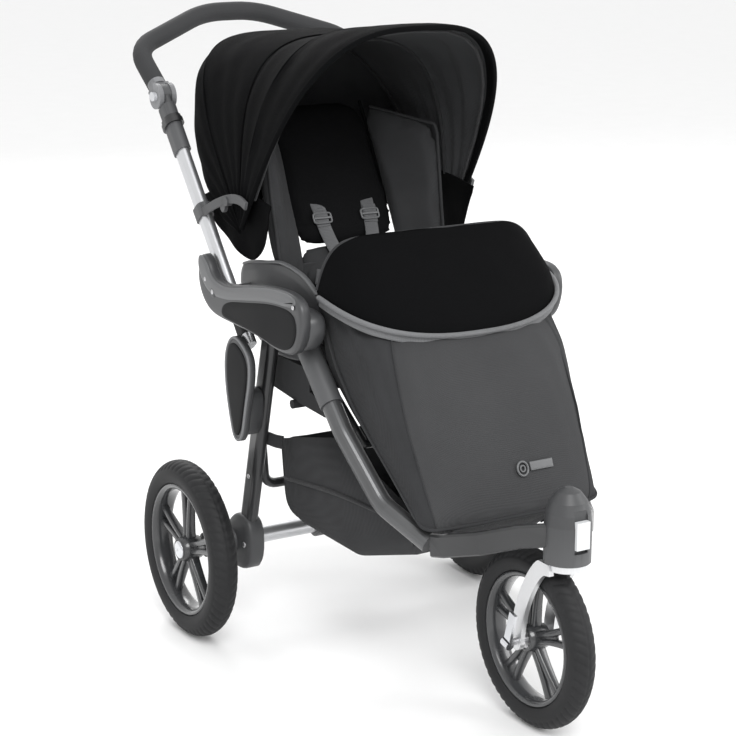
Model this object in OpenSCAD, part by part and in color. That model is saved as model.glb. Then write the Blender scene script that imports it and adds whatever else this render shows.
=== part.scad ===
// Three-wheeled folding baby stroller with a tilting handlebar, hood, leg cover and basket.
// Millimetres, +Z up, front towards -Y, the rider's left at +X.
// Inside the modules Y is measured from the rear axle, and in_row_frame() moves it to the middle.

/* [Wheels] */
// Radius of the rear tyres
rear_r = 145; // [140:1:150]
// Width of the rear tyres
rear_w = 45; // [42:1:46]
// Distance between the rear wheels' centres
track = 550; // [548:1:556]
// Radius of the front tyre
front_r = 135; // [130:1:136]
// Width of the front tyre
front_w = 42; // [38:1:43]
// Distance from the rear axle to the front axle
wheelbase = 575; // [572:1:580]
// Distance from the swivel axis back to the front axle
trail = 75; // [73:1:78]

/* [Frame] */
// Angle of the handle tubes from horizontal
handle_slope = 50.4; // [49:0.1:51]
// Width of the handle tubes across the stroller
handle_tube_w = 19; // [18:0.5:19.5]
// Depth of the handle tubes
handle_tube_d = 30; // [26:1:30]
// Radius of the front tubes
front_tube_r = 15; // [14:0.5:15]
// Radius of the rear axle tube
axle_tube_r = 14; // [13:0.5:15]
// Radius of the fold pins
pin_r = 8; // [7:0.5:8]
// Radial running clearance of pins and bearings
running_gap = 0.05; // [0.02:0.01:0.1]

/* [Handlebar] */
// Radius of the foam grip
grip_r = 16; // [15:0.5:17]
// Half the length of the grip's straight middle
grip_half = 49; // [40:1:60]

/* [Hood] */
// Half of the hood's width
hood_half_w = 203; // [200:1:204]
// Thickness of the hood's padded fabric
hood_wall = 7; // [5:1:8]

/* [Seat] */
// Half of the backrest panel's width
back_half_w = 95; // [85:1:98]
// Thickness of the backrest pad
back_thick = 24; // [20:1:28]

/* [Hidden] */
$fn = 48;

// Planes across the stroller, as distances from its middle
leg_x = 184;
tube_x = 205;
housing_in = 218.5;
housing_out = 235;
plate_in = 161;
plate_out = 171;
knuckle_out = 220;

// Pivots, as [y, z]
fold_pivot = [-24, 570];
leg_pivot = [-126, 540];
recline_pivot = [-80, 562];
clip_along = 141.5;
knuckle_along = 364;
sleeve_from = 255;
sleeve_to = 300;
collar_to = 318;
neck_to = 342;
handle_below = 101;
swivel_y = -wheelbase - trail;
leg_foot = [-26, 154];
hood_pivot = [-45, 655];
hood_front = 123;
hood_back = 6;
hood_foot = 22;
hood_steps = 24;
hoop_steps = 20;

// The middle of the whole stroller, between the front tyre and the handlebar
handlebar_middle = [371, 968];
shift_y = (wheelbase + front_r - handlebar_middle.x - grip_r) / 2;

function unit(v) = v / norm(v);
function along_tube(s) =
    [fold_pivot.x + s * cos(handle_slope), fold_pivot.y + s * sin(handle_slope)];
knuckle = along_tube(knuckle_along);

// One pass of corner cutting on a closed or an open run of points
function cut_closed(p) = [for (i = [0:len(p) - 1]) let (q = p[(i + 1) % len(p)])
    each [0.75 * p[i] + 0.25 * q, 0.25 * p[i] + 0.75 * q]];
function cut_open(p) = [p[0],
    each [for (i = [0:len(p) - 2]) each [0.75 * p[i] + 0.25 * p[i + 1], 0.25 * p[i] + 0.75 * p[i + 1]]],
    p[len(p) - 1]];
function smooth_closed(p, times) = times == 0 ? p : smooth_closed(cut_closed(p), times - 1);
function smooth_open(p, times) = times == 0 ? p : smooth_open(cut_open(p), times - 1);

// A run of points on the right, then the same run mirrored back to the other side
function both_ways(p) = concat(p, [for (i = [len(p) - 1:-1:0]) [-p[i].x, p[i].y, p[i].z]]);

function circle_points(r, sides) = [for (i = [0:sides - 1]) r * [cos(360 * i / sides), sin(360 * i / sides)]];
function bar_points(w, h, c) = [
    [w / 2, h / 2 - c], [w / 2 - c, h / 2], [c - w / 2, h / 2], [-w / 2, h / 2 - c],
    [-w / 2, c - h / 2], [c - w / 2, -h / 2], [w / 2 - c, -h / 2], [w / 2, c - h / 2]];

// A solid swept along a path: the section's first axis stays near the normal
module swept(path, section, normal) {
    n = len(path);
    m = len(section);
    rings = [for (i = [0:n - 1]) let (
        t = unit(path[min(i + 1, n - 1)] - path[max(i - 1, 0)]),
        u = unit(normal - (normal * t) * t),
        v = cross(t, u))
        each [for (s = section) path[i] + s.x * u + s.y * v]];
    sides = [for (i = [0:n - 2], j = [0:m - 1])
        each [[i * m + j, i * m + (j + 1) % m, (i + 1) * m + (j + 1) % m],
              [i * m + j, (i + 1) * m + (j + 1) % m, (i + 1) * m + j]]];
    ends = [[for (j = [m - 1:-1:0]) j], [for (j = [0:m - 1]) (n - 1) * m + j]];
    polyhedron(rings, concat([for (f = sides) [f[2], f[1], f[0]]], [for (f = ends) [for (k = [len(f) - 1:-1:0]) f[k]]]));
}

// A round bar through a run of corners, each turned with its own bend radius
bend_steps = 6;
function turned(p, i) = acos(unit(p[i] - p[i - 1]) * unit(p[i + 1] - p[i]));
function bend_points(p, bend, i) = let (
    d1 = unit(p[i] - p[i - 1]), d2 = unit(p[i + 1] - p[i]), a = turned(p, i),
    c = p[i] + unit(d2 - d1) * bend / cos(a / 2),
    x = unit(p[i] - d1 * bend * tan(a / 2) - c), y = cross(unit(cross(d1, d2)), x))
    [for (k = [0:bend_steps]) c + bend * (x * cos(a * k / bend_steps) + y * sin(a * k / bend_steps))];
function bent_path(p, bends) = [p[0], each [for (i = [1:len(p) - 2]) each bend_points(p, bends[i], i)], p[len(p) - 1]];
module bent_bar(p, bends, r, normal, sides) {
    swept(bent_path(p, bends), circle_points(r, sides), normal);
}

// A flat band of even width along a drawn run of points
function across(p, i) = let (d = unit(p[min(i + 1, len(p) - 1)] - p[max(i - 1, 0)])) [-d.y, d.x];
function band(p, half) = concat([for (i = [0:len(p) - 1]) p[i] + half * across(p, i)],
    [for (i = [len(p) - 1:-1:0]) p[i] - half * across(p, i)]);

// A closed shell of rings, each ring a run of points all round its own wall
module shell(rings) {
    n = len(rings);
    m = len(rings[0]);
    points = [for (r = rings) each r];
    sides = [for (i = [0:n - 2], j = [0:m - 1])
        each [[i * m + j, (i + 1) * m + (j + 1) % m, i * m + (j + 1) % m],
              [i * m + j, (i + 1) * m + j, (i + 1) * m + (j + 1) % m]]];
    half = m / 2;
    caps = [for (j = [0:half - 2]) let (a = j, b = j + 1, c = m - 2 - j, d = m - 1 - j, e = (n - 1) * m)
        each [[a, b, c], [a, c, d], [e + a, e + c, e + b], [e + a, e + d, e + c]]];
    polyhedron(points, concat(sides, caps));
}

module in_row_frame() { translate([0, shift_y, 0]) children(); }
module on_side(side) { mirror([side < 0 ? 1 : 0, 0, 0]) children(); }

// Places a drawing of [y, z] points upright, and thick from x0 to x1
module side_plate(x0, x1) {
    translate([x0, 0, 0]) rotate([90, 0, 90]) linear_extrude(x1 - x0) children();
}
module cross_cylinder(x0, x1, at, r) { side_plate(x0, x1) translate(at) circle(r); }

// Stands children, drawn round Z, along the handle tube from the fold pivot
module on_handle_tube(s) {
    at = along_tube(s);
    translate([tube_x, at.x, at.y]) rotate([handle_slope - 90, 0, 0]) children();
}
module stadium(w, d) {
    square([w, d - w], center = true);
    for (end = [-1, 1]) translate([0, end * (d - w) / 2]) circle(w / 2);
}

// ---------- wheels ----------
module tyre(r, w) {
    bead_r = r - w * 0.82;
    rotate([0, 90, 0]) rotate_extrude($fn = 96) difference() {
        union() {
            translate([r - w / 2, 0]) circle(w / 2);
            translate([bead_r, -w * 0.36]) square([w * 0.4, w * 0.72]);
        }
        translate([0, -w]) square([bead_r, 2 * w]);
    }
}

module twin_spoke(r, thick) {
    for (lean = [-1, 1]) rotate([0, 0, lean * 3]) linear_extrude(thick, center = true)
        polygon([[16, 1.5], [r, 8], [r, 17], [60, 10.5], [16, 8.5]] * [[1, 0], [0, lean]]);
}

module wheel_rim(r, w, hub_half) {
    rim_r = r - w * 0.82 - 0.02;
    half = w * 0.42;
    rotate([0, 90, 0]) difference() {
        union() {
            rotate_extrude($fn = 96) polygon([
                [rim_r - 6, -half], [rim_r, -half], [rim_r, half], [rim_r - 4, half],
                [rim_r - 9, half - 4], [rim_r - 12, 4], [rim_r - 12, -4], [rim_r - 9, 4 - half]]);
            cylinder(r = 19, h = 2 * hub_half, center = true);
            for (k = [0:4]) rotate([0, 0, 72 * k + 180]) twin_spoke(rim_r - 9, 13);
        }
        cylinder(r = 13, h = 3 * hub_half, center = true);
    }
}

module bearing_pair(hub_half, shaft_r) {
    for (end = [-1, 1]) translate([end * (hub_half - 5), 0, 0]) rotate([0, 90, 0]) difference() {
        cylinder(r = 12.98, h = 8, center = true);
        cylinder(r = shaft_r + running_gap, h = 10, center = true);
    }
}

rear_hub_half = 18;
front_hub_half = 18;
rear_axle_r = 6;
front_axle_r = 5;

module at_rear_wheel(side) { translate([side * track / 2, 0, rear_r]) children(); }
module at_front_wheel() { translate([0, -wheelbase, front_r]) children(); }

module rear_tyre(side) { color("dimgray") in_row_frame() at_rear_wheel(side) tyre(rear_r, rear_w); }
module rear_rim(side) { color("darkslategray") in_row_frame() at_rear_wheel(side) wheel_rim(rear_r, rear_w, rear_hub_half); }
module rear_bearings(side) { color("silver") in_row_frame() at_rear_wheel(side) bearing_pair(rear_hub_half, rear_axle_r); }
module hub_cap(side) {
    color("gainsboro") in_row_frame() on_side(side) translate([track / 2 + rear_hub_half + 0.1, 0, rear_r])
        rotate([0, 90, 0]) rotate_extrude() polygon([[0, 0], [15, 0], [15, 2], [11, 4.3], [0, 4.3]]);
}
module front_tyre() { color("dimgray") in_row_frame() at_front_wheel() tyre(front_r, front_w); }
module front_rim() { color("darkslategray") in_row_frame() at_front_wheel() wheel_rim(front_r, front_w, front_hub_half); }
module front_bearings() { color("silver") in_row_frame() at_front_wheel() bearing_pair(front_hub_half, front_axle_r); }

// ---------- fork ----------
fork_inner = 25;
fork_outer = 33;
fork_path = [[-652, 271], [-632, 268], [-610, 242], [-590, 204], [-579, 168], [-575, 135]];

module front_axle() {
    color("silver") in_row_frame() at_front_wheel() rotate([0, 90, 0]) union() {
        cylinder(r = front_axle_r, h = 2 * fork_outer + 13.8, center = true);
        translate([0, 0, fork_outer + 0.2]) cylinder(r = 9, h = 7);
    }
}

module quick_release_lever() {
    hinge_x = -(fork_outer + 14);
    color("gainsboro") in_row_frame() translate([hinge_x, -wheelbase, front_r]) union() {
        rotate([16, 0, 0]) rotate([90, 0, 0]) cylinder(r = 7, h = 16, center = true);
        rotate([16, 0, 0]) translate([-2.5, -7, 6]) cube([5, 14, 46]);
    }
}

module fork() {
    color("gainsboro") in_row_frame() union() {
        translate([0, swivel_y, 263]) cylinder(r = pin_r, h = 97);
        translate([0, swivel_y, 266.5]) cylinder(r = 30, h = 9);
        difference() {
            for (side = [-1, 1]) on_side(side) union() {
                side_plate(fork_inner, fork_outer) polygon(band(smooth_open(fork_path, 2), 12));
                cross_cylinder(fork_inner, fork_outer, [-wheelbase, front_r], 13);
            }
            cross_cylinder(-2 * fork_outer, 2 * fork_outer, [-wheelbase, front_r], front_axle_r + 0.02);
            translate([0, swivel_y, 275.5]) cylinder(r = 80, h = 40);
        }
    }
}

// ---------- rear frame ----------
leg_w = 20;
leg_d = 36;
leg_tilt = atan2(leg_foot.x - leg_pivot.x, leg_pivot.y - leg_foot.y);
leg_length = norm(leg_pivot - leg_foot);

module leg_bar(grow) {
    translate([leg_x, leg_pivot.x, leg_pivot.y]) rotate([leg_tilt, 0, 0])
        translate([0, 0, -leg_length]) linear_extrude(leg_length) stadium(leg_w + grow, leg_d + grow);
}

module rear_leg(side) {
    color("dimgray") in_row_frame() on_side(side) difference() {
        union() {
            leg_bar(0);
            cross_cylinder(leg_x - leg_w / 2, leg_x + leg_w / 2, leg_pivot, 21);
        }
        cross_cylinder(leg_x - 20, leg_x + 20, leg_pivot, pin_r + running_gap);
    }
}

module axle_bracket(side) {
    color("dimgray") in_row_frame() on_side(side) difference() {
        union() {
            side_plate(169, 199) polygon(smooth_closed([
                [26, 172], [34, 140], [20, 110], [-22, 104], [-60, 118], [-70, 162], [-56, 204], [-8, 206]], 3));
            cross_cylinder(165, 249, [0, rear_r], 22);
        }
        leg_bar(0.1);
        cross_cylinder(160, 255, [0, rear_r], rear_axle_r + 0.02);
        cross_cylinder(160, 172.1, [0, rear_r], axle_tube_r + 0.02);
    }
}

module rear_axle() {
    end = track / 2 + rear_hub_half - 1;
    color("silver") in_row_frame() cross_cylinder(-end, end, [0, rear_r], rear_axle_r);
}
module axle_tube() {
    color("silver") in_row_frame() difference() {
        cross_cylinder(-172, 172, [0, rear_r], axle_tube_r);
        cross_cylinder(-173, 173, [0, rear_r], axle_tube_r - 2.5);
    }
}

pod_outline = [[-65, 504], [-91, 510], [-129, 488], [-131, 450], [-115, 400], [-101, 346],
    [-75, 340], [-61, 380], [-49, 430], [-49, 476]];
module leg_pod(side) {
    color("dimgray") in_row_frame() on_side(side) union() {
        side_plate(housing_in - 1, 228) polygon(smooth_closed(pod_outline, 3));
        side_plate(leg_x + leg_w / 2 + 0.1, housing_in) polygon(smooth_closed([
            [-111, 420], [-109, 380], [-99, 352], [-81, 352], [-75, 380], [-73, 420]], 2));
    }
}

stay_path = both_ways([[175, -65, 332], [162, -50, 248]]);
module stay_bar() {
    color("dimgray") in_row_frame() difference() {
        bent_bar(stay_path, [0, 24, 24, 0], 8, [0, 1, 0.15], 16);
        for (side = [-1, 1]) on_side(side) leg_bar(0.1);
    }
}

module brake_pedal() {
    color("dimgray") in_row_frame() difference() {
        union() {
            cross_cylinder(-45, 45, [0, rear_r], 21);
            side_plate(-45, 45) polygon(smooth_closed([[8, 152], [60, 168], [74, 166], [72, 158], [30, 138], [6, 132]], 2));
        }
        cross_cylinder(-50, 50, [0, rear_r], axle_tube_r + running_gap);
    }
}

// ---------- handle frame ----------
module handle_tube(side) {
    color("silver") in_row_frame() on_side(side) difference() {
        on_handle_tube(-handle_below) linear_extrude(handle_below + sleeve_to) stadium(handle_tube_w, handle_tube_d);
        cross_cylinder(tube_x - 20, tube_x + 20, fold_pivot, pin_r + running_gap);
    }
}

module knuckle_base(side) {
    color("dimgray") in_row_frame() on_side(side) difference() {
        union() {
            on_handle_tube(sleeve_from) linear_extrude(neck_to - sleeve_from) stadium(25, 36);
            on_handle_tube(neck_to - 1) linear_extrude(knuckle_along - neck_to) stadium(13.8, 34);
            cross_cylinder(tube_x - 7, tube_x + 7, knuckle, 19);
        }
        on_handle_tube(sleeve_from - 1) linear_extrude(sleeve_to - sleeve_from + 1.1)
            stadium(handle_tube_w + 0.04, handle_tube_d + 0.04);
        cross_cylinder(tube_x - 20, tube_x + 20, knuckle, 6 + running_gap);
    }
}

collar_travel = 10;
module release_collar(side) {
    color("black") in_row_frame() on_side(side) on_handle_tube(sleeve_to + 4) difference() {
        union() {
            linear_extrude(9) stadium(32, 44);
            linear_extrude(15) stadium(29, 40);
        }
        translate([0, 0, -1]) linear_extrude(18) stadium(25.4, 36.4);
    }
}

module tube_collars() {
    color("black") in_row_frame() for (side = [-1, 1]) on_side(side) on_handle_tube(-82) difference() {
        linear_extrude(30) stadium(20.6, 34);
        translate([0, 0, -1]) linear_extrude(32) stadium(handle_tube_w + 0.04, handle_tube_d + 0.04);
    }
}

clip_pivot = [-30, 712];
clip_path = [[212, 54, 682], [212, 20, 698], [211, -14, 711], [210, -44, 719], [208.5, -70, 720], [208, -88, 713]];
module canopy_clip(side) {
    color("dimgray") in_row_frame() on_side(side) difference() {
        union() {
            on_handle_tube(clip_along - 11) linear_extrude(22) stadium(24.6, 38);
            swept(smooth_open(clip_path, 2), bar_points(5, 14, 1), [1, 0, 0]);
            side_plate(206.5, 212.5) polygon(smooth_closed([[-29, 719], [-9, 716], [-5, 702], [-13, 692], [-23, 695]], 2));
            cross_cylinder(205, 214.5, clip_pivot, 7);
        }
        on_handle_tube(clip_along - 12) linear_extrude(24) stadium(handle_tube_w + 0.04, handle_tube_d + 0.04);
    }
}

// ---------- handlebar ----------
grip_path = both_ways([[tube_x - 2, 236, 865.5], [tube_x - 2, 311, 918], [grip_half, handlebar_middle.x, handlebar_middle.y]]);
module handlebar() {
    color("dimgray") in_row_frame() bent_bar(grip_path, [0, 60, 150, 150, 60, 0], grip_r, [0, -0.35, 1], 24);
}

module knuckle_head(side) {
    color("gray") in_row_frame() on_side(side) difference() {
        union() {
            cross_cylinder(tube_x - 15, tube_x - 7.3, knuckle, 21);
            cross_cylinder(tube_x + 7.3, knuckle_out, knuckle, 21);
            cross_cylinder(tube_x - 15, knuckle_out, knuckle, 6);
            translate([tube_x, knuckle.x, knuckle.y]) rotate([35 - 90, 0, 0]) difference() {
                cylinder(r = 15, h = 31);
                translate([0, 0, -1]) cylinder(r = 30, h = 21.5);
            }
            translate([tube_x, knuckle.x, knuckle.y]) rotate([35 - 90, 0, 0]) difference() {
                translate([-15, -12, 0]) cube([30, 24, 22]);
                rotate([90, 0, 90]) cylinder(r = 19.5, h = 60, center = true);
            }
        }
        side_plate(knuckle_out - 5, knuckle_out + 5) translate(knuckle) scale([1, 0.75]) circle(10.1);
    }
}

module tilt_button(side) {
    color("gainsboro") in_row_frame() on_side(side)
        side_plate(knuckle_out - 1, knuckle_out + 5) translate(knuckle) scale([1, 0.75]) circle(10);
}

// ---------- chassis ----------
housing_outline = [[23, 624], [-1, 620], [-19, 588], [-65, 584], [-135, 600], [-215, 614], [-299, 614],
    [-311, 576], [-293, 526], [-245, 516], [-165, 528], [-85, 530], [-15, 532], [19, 552], [33, 586]];
block_outline = [[-201, 526], [-201, 578], [-245, 584], [-301, 586], [-309, 556], [-289, 528], [-245, 518]];
block_in = 190;

module side_housing(side) {
    color("dimgray") in_row_frame() on_side(side) difference() {
        union() {
            side_plate(housing_in, housing_out) polygon(smooth_closed(housing_outline, 3));
            side_plate(block_in, housing_in + 1) polygon(smooth_closed(block_outline, 2));
        }
        front_sleeve_bar(0.1);
        cross_cylinder(housing_in - 1, housing_in + 10, fold_pivot, pin_r + 0.01);
        cross_cylinder(housing_in - 1, housing_in + 10, leg_pivot, pin_r + 0.01);
        side_plate(housing_out - 2, housing_out + 1) polygon(smooth_closed(label_outline, 3));
    }
}

label_outline = [[-65, 568], [-135, 578], [-215, 586], [-281, 584], [-281, 552], [-245, 532], [-165, 540], [-85, 548]];
module label_panels() {
    color("black") in_row_frame() for (side = [-1, 1]) on_side(side)
        side_plate(housing_out - 1.95, housing_out + 0.6)
            offset(delta = -0.3) polygon(smooth_closed(label_outline, 3));
}

module armrest(side) {
    color("dimgray") in_row_frame() on_side(side) difference() {
        side_plate(plate_in, plate_out) polygon(smooth_closed([[15, 550], [13, 602], [-25, 614], [-128, 628], [-192, 620],
            [-244, 596], [-254, 538], [-205, 478], [-45, 474]], 3));
        front_sleeve_bar(0.1);
        cross_cylinder(plate_in - 1, plate_out + 1, fold_pivot, pin_r + 0.01);
    }
}

// The pins of the fold and of the legs, and the hinge bar along the foot of the backrest
module pivot_pins() {
    color("silver") in_row_frame() cross_cylinder(-97, 97, recline_pivot, 4.5);
    color("silver") in_row_frame() for (side = [-1, 1]) on_side(side) {
        cross_cylinder(plate_in + 2, housing_in + 9, fold_pivot, pin_r);
        cross_cylinder(leg_x - 10, housing_in + 9, leg_pivot, pin_r);
    }
}

sleeve_r = 18;
module front_sleeve_bar(grow) {
    translate([leg_x - 1, -227, 525]) rotate([135, 0, 0]) cylinder(r = sleeve_r + grow, h = 112);
}
module front_sleeves() {
    color("dimgray") in_row_frame() for (side = [-1, 1]) on_side(side) difference() {
        front_sleeve_bar(0);
        translate([leg_x - 1, -227, 525]) rotate([135, 0, 0]) translate([0, 0, 3]) cylinder(r = front_tube_r + 0.1, h = 120);
    }
}

front_path = [[leg_x - 1, -231, 521], [leg_x - 1, -340, 412], [166, -424, 322], [137, -506, 282]];
module front_tube_bar(r) { bent_bar(front_path, [0, 110, 70, 0], r, [1, -0.3, 0], 24); }
module front_tube(side) { color("gray") in_row_frame() on_side(side) front_tube_bar(front_tube_r); }

crossbar_path = both_ways([[136, -510, 281], [128, -526, 283], [97, -572, 295], [56, -614, 311], [20, -650, 318]]);
module crossbar() {
    color("gray") in_row_frame() difference() {
        swept(crossbar_path, bar_points(34, 13, 3), [0, 0, 1]);
        for (side = [-1, 1]) on_side(side) front_tube_bar(front_tube_r + 0.3);
        translate([0, swivel_y, 250]) cylinder(r = 34.2, h = 100);
    }
}

lock_x = 11;
module swivel_housing() {
    color("dimgray") in_row_frame() translate([0, swivel_y, 0]) difference() {
        rotate_extrude() polygon([[0, 277], [34, 277], [34, 332], [32, 350], [27, 366], [17, 379], [6, 385], [0, 385]]);
        translate([0, 0, 270]) cylinder(r = pin_r + running_gap, h = 92);
        translate([-lock_x - 0.3, -40, 296]) cube([2 * lock_x + 0.6, 12, 62]);
    }
}
module swivel_lock() {
    color("white") in_row_frame() translate([-lock_x, swivel_y - 37, 303]) cube([2 * lock_x, 8.7, 40]);
}

// The seat's plan narrows towards the front, inside the leg cover
function seat_plan(less) = [[-158 + less, -110], [158 - less, -110], [158 - less, -268], [148 - less, -332],
    [less - 148, -332], [less - 158, -268]];
module seat_base() {
    color("dimgray") in_row_frame() union() {
        translate([0, 0, 498]) linear_extrude(20) polygon(seat_plan(0));
        translate([-160, -197, 436]) cube([320, 130, 37]);
        translate([-150, -190, 472]) cube([300, 112, 27]);
        for (side = [-1, 1]) on_side(side) side_plate(134, 160)
            polygon([[-65, 437], [-201, 437], [-245, 426], [-245, 408], [-159, 412], [-75, 420]]);
        for (side = [-1, 1]) on_side(side) cross_cylinder(146, 167, [-153, 408], 7);
    }
}

footrest_path = both_ways([[156, -218, 482], [152, -328, 404], [146, -337, 388]]);
module footrest_frame() {
    color("dimgray") in_row_frame() bent_bar(footrest_path, [0, 12, 6, 6, 12, 0], 7, [0, -0.7, 0.7], 14);
}

// ---------- soft parts ----------
module seat_pad() {
    color("darkslategray") in_row_frame() union() {
        translate([0, 0, 520]) linear_extrude(40) polygon(seat_plan(2));
        for (side = [-1, 1]) on_side(side) hull() {
            for (p = [[112, -74, 574], [145, -100, 574], [150, -60, 806], [114, 2, 836]])
                translate(p) sphere(r = 13, $fn = 20);
        }
    }
}

back_top = [72, 850];
back_lean = atan2(back_top.x + 84, back_top.y - 570);
module on_back(s) { translate([0, -84 + s * sin(back_lean), 570 + s * cos(back_lean)]) rotate([-back_lean, 0, 0]) children(); }
module backrest() {
    color("black") in_row_frame() on_back(0) rotate([90, 0, 0]) translate([0, 0, -back_thick]) linear_extrude(back_thick)
        polygon(smooth_closed([[-back_half_w, 0], [back_half_w, 0], [back_half_w - 2, 180], [back_half_w - 10, 318],
            [10 - back_half_w, 318], [2 - back_half_w, 180]], 2));
}

module harness() {
    color("gray") in_row_frame() {
        for (side = [-1, 1]) on_back(20) translate([side * 46 - 13, -5, 0]) cube([26, 3.5, 150]);
        for (side = [-1, 1]) on_back(100) translate([side * 46 - 17, -9, 0]) cube([34, 4, 22]);
        on_back(8) translate([-30, -14, 0]) cube([60, 9, 40]);
    }
}

module leg_cover() {
    color("dimgray") in_row_frame() difference() {
        hull() {
            for (side = [-1, 1], p = [[176, -272, 586], [176, -336, 570], [150, -404, 556], [142, -516, 318],
                [142, -508, 312], [170, -300, 508]])
                translate([side * p.x, p.y, p.z]) sphere(r = 10, $fn = 20);
        }
        hull() {
            for (side = [-1, 1], p = [[176, -200, 640], [176, -290, 640], [150, -340, 640], [142, -396, 556],
                [132, -498, 334], [152, -380, 420], [170, -240, 520]])
                translate([side * p.x, p.y, p.z]) sphere(r = 3, $fn = 12);
        }
    }
}

flap_outline = [[186, -266], [186, -340], [150, -392], [70, -424], [-70, -424], [-150, -392], [-186, -340], [-186, -266],
    [-110, -222], [110, -222]];
module leg_flap() {
    color("black") in_row_frame() intersection() {
        translate([0, 0, 500]) linear_extrude(250) polygon(smooth_closed(flap_outline, 3));
        difference() {
            hull() for (side = [-1, 1], p = [[60, -200, 676], [170, -200, 628], [180, -345, 588], [90, -420, 570]])
                translate([side * p.x, p.y, p.z]) sphere(r = 14, $fn = 20);
            hull() for (side = [-1, 1], p = [[60, -190, 664], [172, -190, 612], [182, -347, 572], [90, -424, 552]])
                translate([side * p.x, p.y, p.z]) sphere(r = 14, $fn = 20);
        }
    }
}

module basket() {
    outer = [[162, -104, 338], [160, -110, 262], [154, -130, 214], [146, -200, 198], [140, -330, 192], [130, -410, 214],
        [118, -480, 250], [112, -491, 286], [123, -466, 303], [147, -376, 344], [159, -280, 386]];
    color("dimgray") in_row_frame() difference() {
        hull() for (side = [-1, 1], p = outer) translate([side * p.x, p.y, p.z]) sphere(r = 6, $fn = 16);
        hull() for (side = [-1, 1], p = outer) translate([side * (p.x - 2), p.y * 0.98 - 6, p.z + 5]) sphere(r = 2.5, $fn = 12);
        hull() for (side = [-1, 1], p = [[155, -112, 344], [152, -280, 392], [140, -372, 352], [116, -458, 314]])
            translate([side * p.x, p.y, p.z]) cylinder(r = 2, h = 60, $fn = 12);
    }
}

// The hood fans out round hood_pivot: its reach and width follow the angle of each hoop
hood_reaches = [[-13, -50], [6, 110], [25, 270], [45, 376], [66, 334], [87, 309], [105, 336], [123, 399], [141, 462]];
function hood_span(a, i) = a < hood_reaches[i + 1].x || i == len(hood_reaches) - 3 ? i : hood_span(a, i + 1);
function hood_reach(a) = let (
    i = hood_span(a, 1), t = (a - hood_reaches[i].x) / (hood_reaches[i + 1].x - hood_reaches[i].x),
    p0 = hood_reaches[i - 1].y, p1 = hood_reaches[i].y, p2 = hood_reaches[i + 1].y, p3 = hood_reaches[i + 2].y)
    p1 + t * (p2 - p0) / 2 + t * t * (p0 - 2.5 * p1 + 2 * p2 - p3 / 2) + t * t * t * (3 * (p1 - p2) + p3 - p0) / 2;
function hood_half(a) = a < 60 ? 188 + 4 * (a - hood_back) / 54 : 192 + (hood_half_w - 192) * (a - 60) / (hood_front - 60);
function hood_power(a) = 4.2 - 1.2 * (a - hood_back) / (hood_front - hood_back);
function hoop_point(a, k, w, r, e) = let (c = cos(k), s = sin(k))
    [w * sign(c) * pow(abs(c), 2 / e), r * pow(s, 2 / e)];
function foot_angle(r, e) = asin(pow(hood_foot / r, e / 2));
function hoop_ring(a) = let (
    w = hood_half(a), r = hood_reach(a), e = hood_power(a), k0 = foot_angle(r, e),
    ks = [for (i = [0:hoop_steps]) k0 + (180 - 2 * k0) * i / hoop_steps],
    outer = [for (k = ks) hoop_point(a, k, w, r, e)],
    inner = [for (k = ks) hoop_point(a, k, w - hood_wall, r - hood_wall, e)],
    flat = concat(outer, [for (i = [hoop_steps:-1:0]) inner[i]]))
    [for (p = flat) [p.x, hood_pivot.x + p.y * cos(a), hood_pivot.y + p.y * sin(a)]];
module canopy() {
    rings = [for (i = [0:hood_steps]) hoop_ring(hood_back + (hood_front - hood_back) * i / hood_steps)];
    color("black") in_row_frame() shell(rings);
}

module hood_hoop(a, r) {
    w = hood_half(a) - hood_wall - 5;
    reach = hood_reach(a) - hood_wall - 5;
    path = [for (i = [0:16]) let (p = hoop_point(a, 5 + 170 * i / 16, w, reach, hood_power(a)))
        [p.x, hood_pivot.x + p.y * cos(a), hood_pivot.y + p.y * sin(a)]];
    swept(path, circle_points(r, 8), [0, -sin(a), cos(a)]);
}
module canopy_hoops() { color("black") in_row_frame() for (a = [hood_front - 3, 87, 50]) hood_hoop(a, 2.5); }

rear_tyre(1);  // rear_tyre_left
rear_tyre(-1);  // rear_tyre_right
rear_rim(1);  // rear_rim_left
rear_rim(-1);  // rear_rim_right
hub_cap(1);  // hub_cap_left
hub_cap(-1);  // hub_cap_right
rear_bearings(1);  // rear_bearings_left
rear_bearings(-1);  // rear_bearings_right
front_tyre();
front_rim();
front_bearings();
front_axle();
quick_release_lever();
fork();
rear_axle();
axle_tube();
axle_bracket(1);  // axle_bracket_left
axle_bracket(-1);  // axle_bracket_right
rear_leg(1);  // rear_leg_left
rear_leg(-1);  // rear_leg_right
leg_pod(1);  // leg_pod_left
leg_pod(-1);  // leg_pod_right
stay_bar();
brake_pedal();
handle_tube(1);  // handle_tube_left
handle_tube(-1);  // handle_tube_right
knuckle_base(1);  // knuckle_base_left
knuckle_base(-1);  // knuckle_base_right
release_collar(1);  // release_collar_left
release_collar(-1);  // release_collar_right
tube_collars();
canopy_clip(1);  // canopy_clip_left
canopy_clip(-1);  // canopy_clip_right
handlebar();
knuckle_head(1);  // knuckle_head_left
knuckle_head(-1);  // knuckle_head_right
tilt_button(1);  // tilt_button_left
tilt_button(-1);  // tilt_button_right
side_housing(1);  // side_housing_left
side_housing(-1);  // side_housing_right
label_panels();
armrest(1);  // armrest_left
armrest(-1);  // armrest_right
pivot_pins();
front_sleeves();
front_tube(1);  // front_tube_left
front_tube(-1);  // front_tube_right
crossbar();
swivel_housing();
swivel_lock();
seat_base();
footrest_frame();
seat_pad();
leg_cover();
leg_flap();
basket();
backrest();
harness();
canopy_hoops();
canopy();
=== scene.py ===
# Looks of the folding stroller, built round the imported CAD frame.
from math import acos, asin, atan2, copysign, cos, degrees, exp, hypot, pi, radians, sin, tau

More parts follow.
